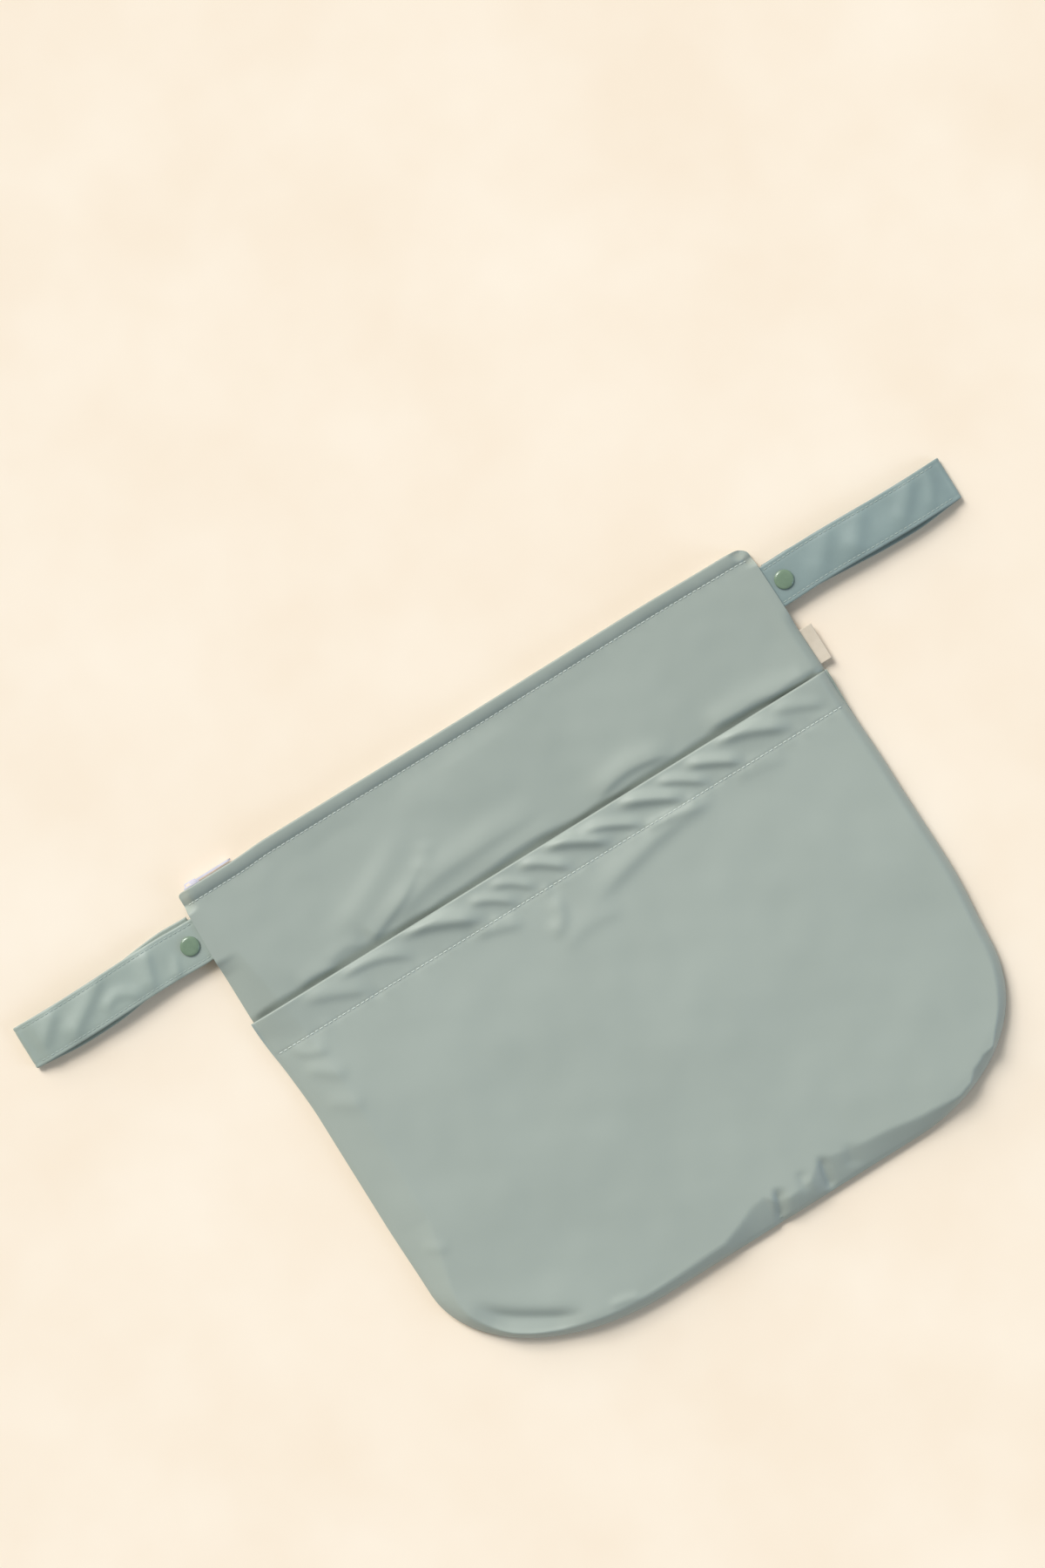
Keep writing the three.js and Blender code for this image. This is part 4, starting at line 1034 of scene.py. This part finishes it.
def strapPiece(side, name):
    look = strapLooks[name]
    low, high = nodeBox(f"strap_{name}")
    seam = float(sideEdge(side, strapMiddle)) + centre[0]
    reach = (high[0] - seam) if side > 0 else (seam - low[0])
    line, topEnd, turnEnd = strapLine(reach)
    ahead = np.gradient(line, axis=0)
    ahead /= np.linalg.norm(ahead, axis=1, keepdims=True)
    normal = np.stack([-ahead[:, 1], ahead[:, 0]], 1)
    half = strap["width"] / 2
    toStitches = half - strap["stitchInset"]
    nearEdge = np.array([0, 0.2, 0.6, 1.3])
    inner = np.linspace(-toStitches, toStitches, 25)
    across = np.concatenate([nearEdge - half, inner, half - nearEdge[::-1]])
    thick = bandThickness(across) / 2
    upperShare = np.where(np.arange(len(line)) < topEnd, 1.0, 0.0)
    upperShare[topEnd:turnEnd] = np.linspace(1, 0, turnEnd - topEnd)
    out = line[:, :1]
    calm = smooth((out - 14) / 8) * smooth((reach - 4 - out) / 10) * upperShare[:, None]
    plan = [seam - centre[0] + side * out + across[None] * 0, strapMiddle + out * 0 + across[None]]
    lift = (creasesAt(*plan, look["creases"]) - 0.3 + wavesOf("strap", *plan)) * calm
    drift = np.interp(line[:, 0], *zip(*look["drift"])) * (1 - upperShare)
    drift = np.convolve(np.pad(drift, 6, mode="edge"), np.ones(13) / 13, mode="valid")
    bow = 0.5 * np.sin(line[:, 0] / reach * math.pi * 2) * smooth(line[:, 0] / 20)

    def place(sign):
        o = line[:, :1] + sign * normal[:, :1] * thick
        z = line[:, 1:] + sign * normal[:, 1:] * thick + lift
        a = across[None] + (drift + bow)[:, None] + np.zeros_like(o)
        return np.stack([seam + side * o, strapMiddle + centre[1] + a, z], -1)

    rings = np.concatenate([place(1), place(-1)[:, ::-1]], axis=1)
    if side < 0:
        rings = rings[:, ::-1]
    piece = tubesPiece(f"strap_{name}_cloth", [rings], look["cloth"])
    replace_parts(piece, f"strap_{name}")
    rows = []
    for edge in (-1, 1):
        at = int(np.argmin(np.abs(across - edge * toStitches)))
        start = int(np.argmin(np.abs(line[:topEnd, 0] - 0.5)))
        rows += stitchesAlong(place(1)[start:topEnd, at] + (0, 0, stitches["thick"] * 0.1))
    tubesPiece(f"stitches_strap_{name}", rows, strapThread)


for side, name in ((-1, "left"), (1, "right")):
    strapPiece(side, name)
print("straps made")


# Snaps: a shallow domed cap with a rolled rim on a thick post, with a socket and a stud between

def capProfile(radius, base, sign, postLength):
    # shares of the radius and of the height, from the crown to under the rim
    dome = [(0.0, 1.0), (0.3, 0.99), (0.55, 0.96), (0.74, 0.9), (0.86, 0.8), (0.94, 0.66),
            (0.985, 0.48), (1.0, 0.3), (0.99, 0.14), (0.95, 0.03), (0.9, 0.0)]
    post = strap["post"]
    profile = [(max(0.01, radius * r), base + sign * strap["capHeight"] * h) for r, h in dome]
    profile += [(post, base), (post, base - sign * postLength), (0.01, base - sign * postLength)]
    return profile if sign < 0 else profile[::-1]


def plateProfile(radius, bottom, top):
    soft = 0.3
    return [(0.01, bottom), (radius - soft, bottom), (radius - 0.1, bottom + 0.1), (radius, bottom + soft),
            (radius, top - soft), (radius - 0.1, top - 0.1), (radius - soft, top), (0.01, top)]


def snapPieces(name):
    low, high = nodeBox(f"snap_cap_{name}")
    middle = ((low[0] + high[0]) / 2, (low[1] + high[1]) / 2, 0)
    radius, tall = strap["snap"] / 2, strap["capHeight"]
    profiles = {"cap": capProfile(radius, high[2] - tall, 1, high[2] - tall - low[2])}
    low, high = nodeBox(f"snap_undercap_{name}")
    profiles["undercap"] = capProfile(radius, tall, -1, high[2] - tall)
    for part in ("socket", "stud"):
        low, high = nodeBox(f"snap_{part}_{name}")
        profiles[part] = plateProfile((high[0] - low[0]) / 2, low[2], high[2])
    for part, profile in profiles.items():
        piece = turnedPiece(f"snap_{part}_{name}_round", profile, middle, snapPlastic)
        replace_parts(piece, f"snap_{part}_{name}")


for name in ("left", "right"):
    snapPieces(name)
print("snaps made")


# Zip: a coil between two woven tapes, with a slider and its pull at the left end

zipper = {
    "turn": 1.25,  # the coil's pitch
    "wire": 0.34,
    "tapeRipple": 0.06,
    "rippleLong": 9,
    "sliderEdge": 0.15,
    "pullEdge": 0.22,
}


def coilPiece():
    low, high = nodeBox("zipper_coil")
    deep, tall = (high[1] - low[1]) / 2 - zipper["wire"], (high[2] - low[2]) / 2 - zipper["wire"]
    turnsCount = (high[0] - low[0] - 1) / zipper["turn"]
    angles = np.linspace(0, turnsCount * 2 * math.pi, int(turnsCount * 10))
    line = np.stack([
        low[0] + 0.5 + angles / (2 * math.pi) * zipper["turn"],
        (low[1] + high[1]) / 2 + deep * np.cos(angles),
        (low[2] + high[2]) / 2 + tall * np.sin(angles),
    ], 1)
    rings = roundRings(line, np.full(len(line), zipper["wire"]), 6)
    piece = tubesPiece("zip_coil", [rings], zipPlastic)
    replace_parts(piece, "zipper_coil")


def tapePiece(name, node):
    low, high = nodeBox(node)
    x = np.linspace(low[0], high[0], 300)
    y = np.linspace(high[1], low[1], 14)
    xs, ys = np.meshgrid(x, y)
    ripple = zipper["tapeRipple"] * np.sin(xs * 2 * math.pi / zipper["rippleLong"] + ys)
    upper = np.stack([xs, ys, high[2] - 0.1 + ripple], -1)
    lower = np.stack([xs, ys, low[2] + 0.1 + ripple], -1)
    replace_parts(wallPiece(name, upper, lower, zipTape), node)


def softSolid(name, node, material, bevel, body="bag"):
    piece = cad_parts[node].copy()
    piece.data = piece.data.copy()
    piece.name = name
    for key in list(piece.keys()):
        del piece[key]
    piece.parent = None
    bpy.context.scene.collection.objects.link(piece)
    piece.data.materials.clear()
    piece.data.materials.append(material)
    edges = piece.modifiers.new("edges", "BEVEL")
    edges.width = bevel * mm
    edges.segments = 3
    edges.limit_method = "ANGLE"
    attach(piece, body)
    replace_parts(piece, node)


coilPiece()
tapePiece("zip_tape_back", "zipper_tape_back")
tapePiece("zip_tape_front", "zipper_tape_front")
softSolid("zip_slider", "zipper_slider", zipPlastic, zipper["sliderEdge"])
softSolid("zip_pull", "zipper_pull", zipPlastic, zipper["pullEdge"], "pull_tab")
print("zip made")


# Side label: a bare woven tape folded round on itself and sewn into the right side seam

label = {
    "tail": 5.0,
    "out": 7.0,  # how far it stands out of the seam
    "cloth": 0.42,
    "fold": 0.34,  # largest radius of its fold
    "curl": 0.5,
}


def labelPiece():
    low, high = nodeBox("side_label")
    seam = high[0] - label["out"]
    fold = (high[2] - seamLevel(np.array(labelMiddle)) - bag["cloth"] - bag["gap"] - label["cloth"]) / 2
    fold = min(float(fold), label["fold"])
    flat = np.linspace(-label["tail"], label["out"] - fold - label["cloth"] / 2, 18)
    angles = np.linspace(math.pi / 2, -math.pi / 2, 10)[1:-1]
    out = np.concatenate([flat, flat[-1] + fold * np.cos(angles), flat[::-1]])
    height = np.concatenate([np.full(18, fold), fold * np.sin(angles), np.full(18, -fold)])
    ahead = np.gradient(np.stack([out, height], 1), axis=0)
    ahead /= np.linalg.norm(ahead, axis=1, keepdims=True)
    y = np.linspace(low[1], high[1], 40)
    level = seamLevel(y - centre[1]) + bag["cloth"] + bag["gap"] + fold + label["cloth"] / 2
    bend = ((y - y.mean()) / (high[1] - low[1]) * 2) ** 2
    curl = label["curl"] * smooth(out / label["out"])[:, None] * bend
    sides = []
    for sign in (1, -1):
        x = seam + out - sign * ahead[:, 1] * label["cloth"] / 2
        z = (height + sign * ahead[:, 0] * label["cloth"] / 2)[:, None] + level + curl
        sides.append(np.stack([np.broadcast_to(x[:, None], z.shape), np.broadcast_to(y, z.shape), z], -1))
    piece = wallPiece("label_tape", sides[1], sides[0], labelTape)
    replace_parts(piece, "side_label")


labelPiece()
print("label made")


# Camera: straight above, turned as the photograph is

view = {
    "turn": -31.7,
    "middle": (10.2, 112.0),
    "height": 2200.0,
    "level": 8.0,  # the cloth's level, at which the frame is measured
    "frame": 837.9,  # how much the picture's height takes in
}


def makeCamera():
    camera = bpy.data.cameras.new("camera")
    camera.sensor_fit = "VERTICAL"
    camera.sensor_height = 24.0
    camera.lens = camera.sensor_height * view["height"] / view["frame"]
    camera.clip_end = 20.0
    holder = bpy.data.objects.new("camera", camera)
    holder.location = Vector((*view["middle"], view["height"] + view["level"])) * mm
    holder.rotation_euler = (0, 0, math.radians(view["turn"]))
    bpy.context.scene.collection.objects.link(holder)
    bpy.context.scene.camera = holder


# Light: a wide soft lamp and a low one from the mouth's side, a small one for glints, and a weak
# cool one from the other side, in a bright room

lamps = [
    {"name": "window", "from": (-0.228, 0.963, 0.98), "spread": 30, "power": 2.35,
     "tone": (1.0, 0.99, 0.97)},
    {"name": "lowWindow", "from": (-0.3, 0.95, 0.36), "spread": 34, "power": 0.95,
     "tone": (1.0, 0.98, 0.95)},
    {"name": "glint", "from": (-0.228, 0.963, 1.1), "spread": 5, "power": 0.25,
     "tone": (1.0, 1.0, 1.0)},
    {"name": "coolFill", "from": (0.7, -0.6, 0.35), "spread": 30, "power": 0.75,
     "tone": (0.5, 0.7, 1.0)},
]
room = {
    "shade": (246, 230, 209),  # the floor's two tones
    "light": (250, 237, 219),
    "clouds": 9.0,
    "far": 6.0,  # how far the floor reaches, in metres
    "air": (0.95, 0.97, 0.95, 1.0),
    "bright": 0.33,
}


def softLamp(look):
    lamp = bpy.data.lights.new(look["name"], "SUN")
    lamp.angle = math.radians(look["spread"])
    lamp.energy = look["power"]
    lamp.color = look["tone"]
    holder = bpy.data.objects.new(look["name"], lamp)
    towards = Vector(look["from"]).normalized()
    holder.location = towards * 2
    holder.rotation_euler = towards.to_track_quat("Z", "Y").to_euler()
    bpy.context.scene.collection.objects.link(holder)


def makeFloor():
    material, nodes, links, shader = nodeMaterial("floor")
    coordinates = nodes.new("ShaderNodeTexCoord").outputs["Object"]
    colour = mottled(nodes, links, coordinates, room["shade"], room["light"], room["clouds"])
    links.new(colour, shader.inputs["Base Color"])
    shader.inputs["Roughness"].default_value = 0.9
    shader.inputs["Specular IOR Level"].default_value = 0.2
    mesh = bpy.data.meshes.new("floor")
    far = room["far"]
    mesh.from_pydata([(-far, -far, 0), (far, -far, 0), (far, far, 0), (-far, far, 0)], [], [(0, 1, 2, 3)])
    mesh.materials.append(material)
    floor = bpy.data.objects.new("floor", mesh)
    bpy.context.scene.collection.objects.link(floor)


def makeRoom():
    world = bpy.data.worlds.new("room")
    world.use_nodes = True
    background = world.node_tree.nodes["Background"]
    background.inputs["Color"].default_value = room["air"]
    background.inputs["Strength"].default_value = room["bright"]
    bpy.context.scene.world = world
    bpy.context.scene.view_settings.view_transform = "Standard"


makeCamera()
makeFloor()
makeRoom()
for look in lamps:
    softLamp(look)
print("camera, floor and lights made")
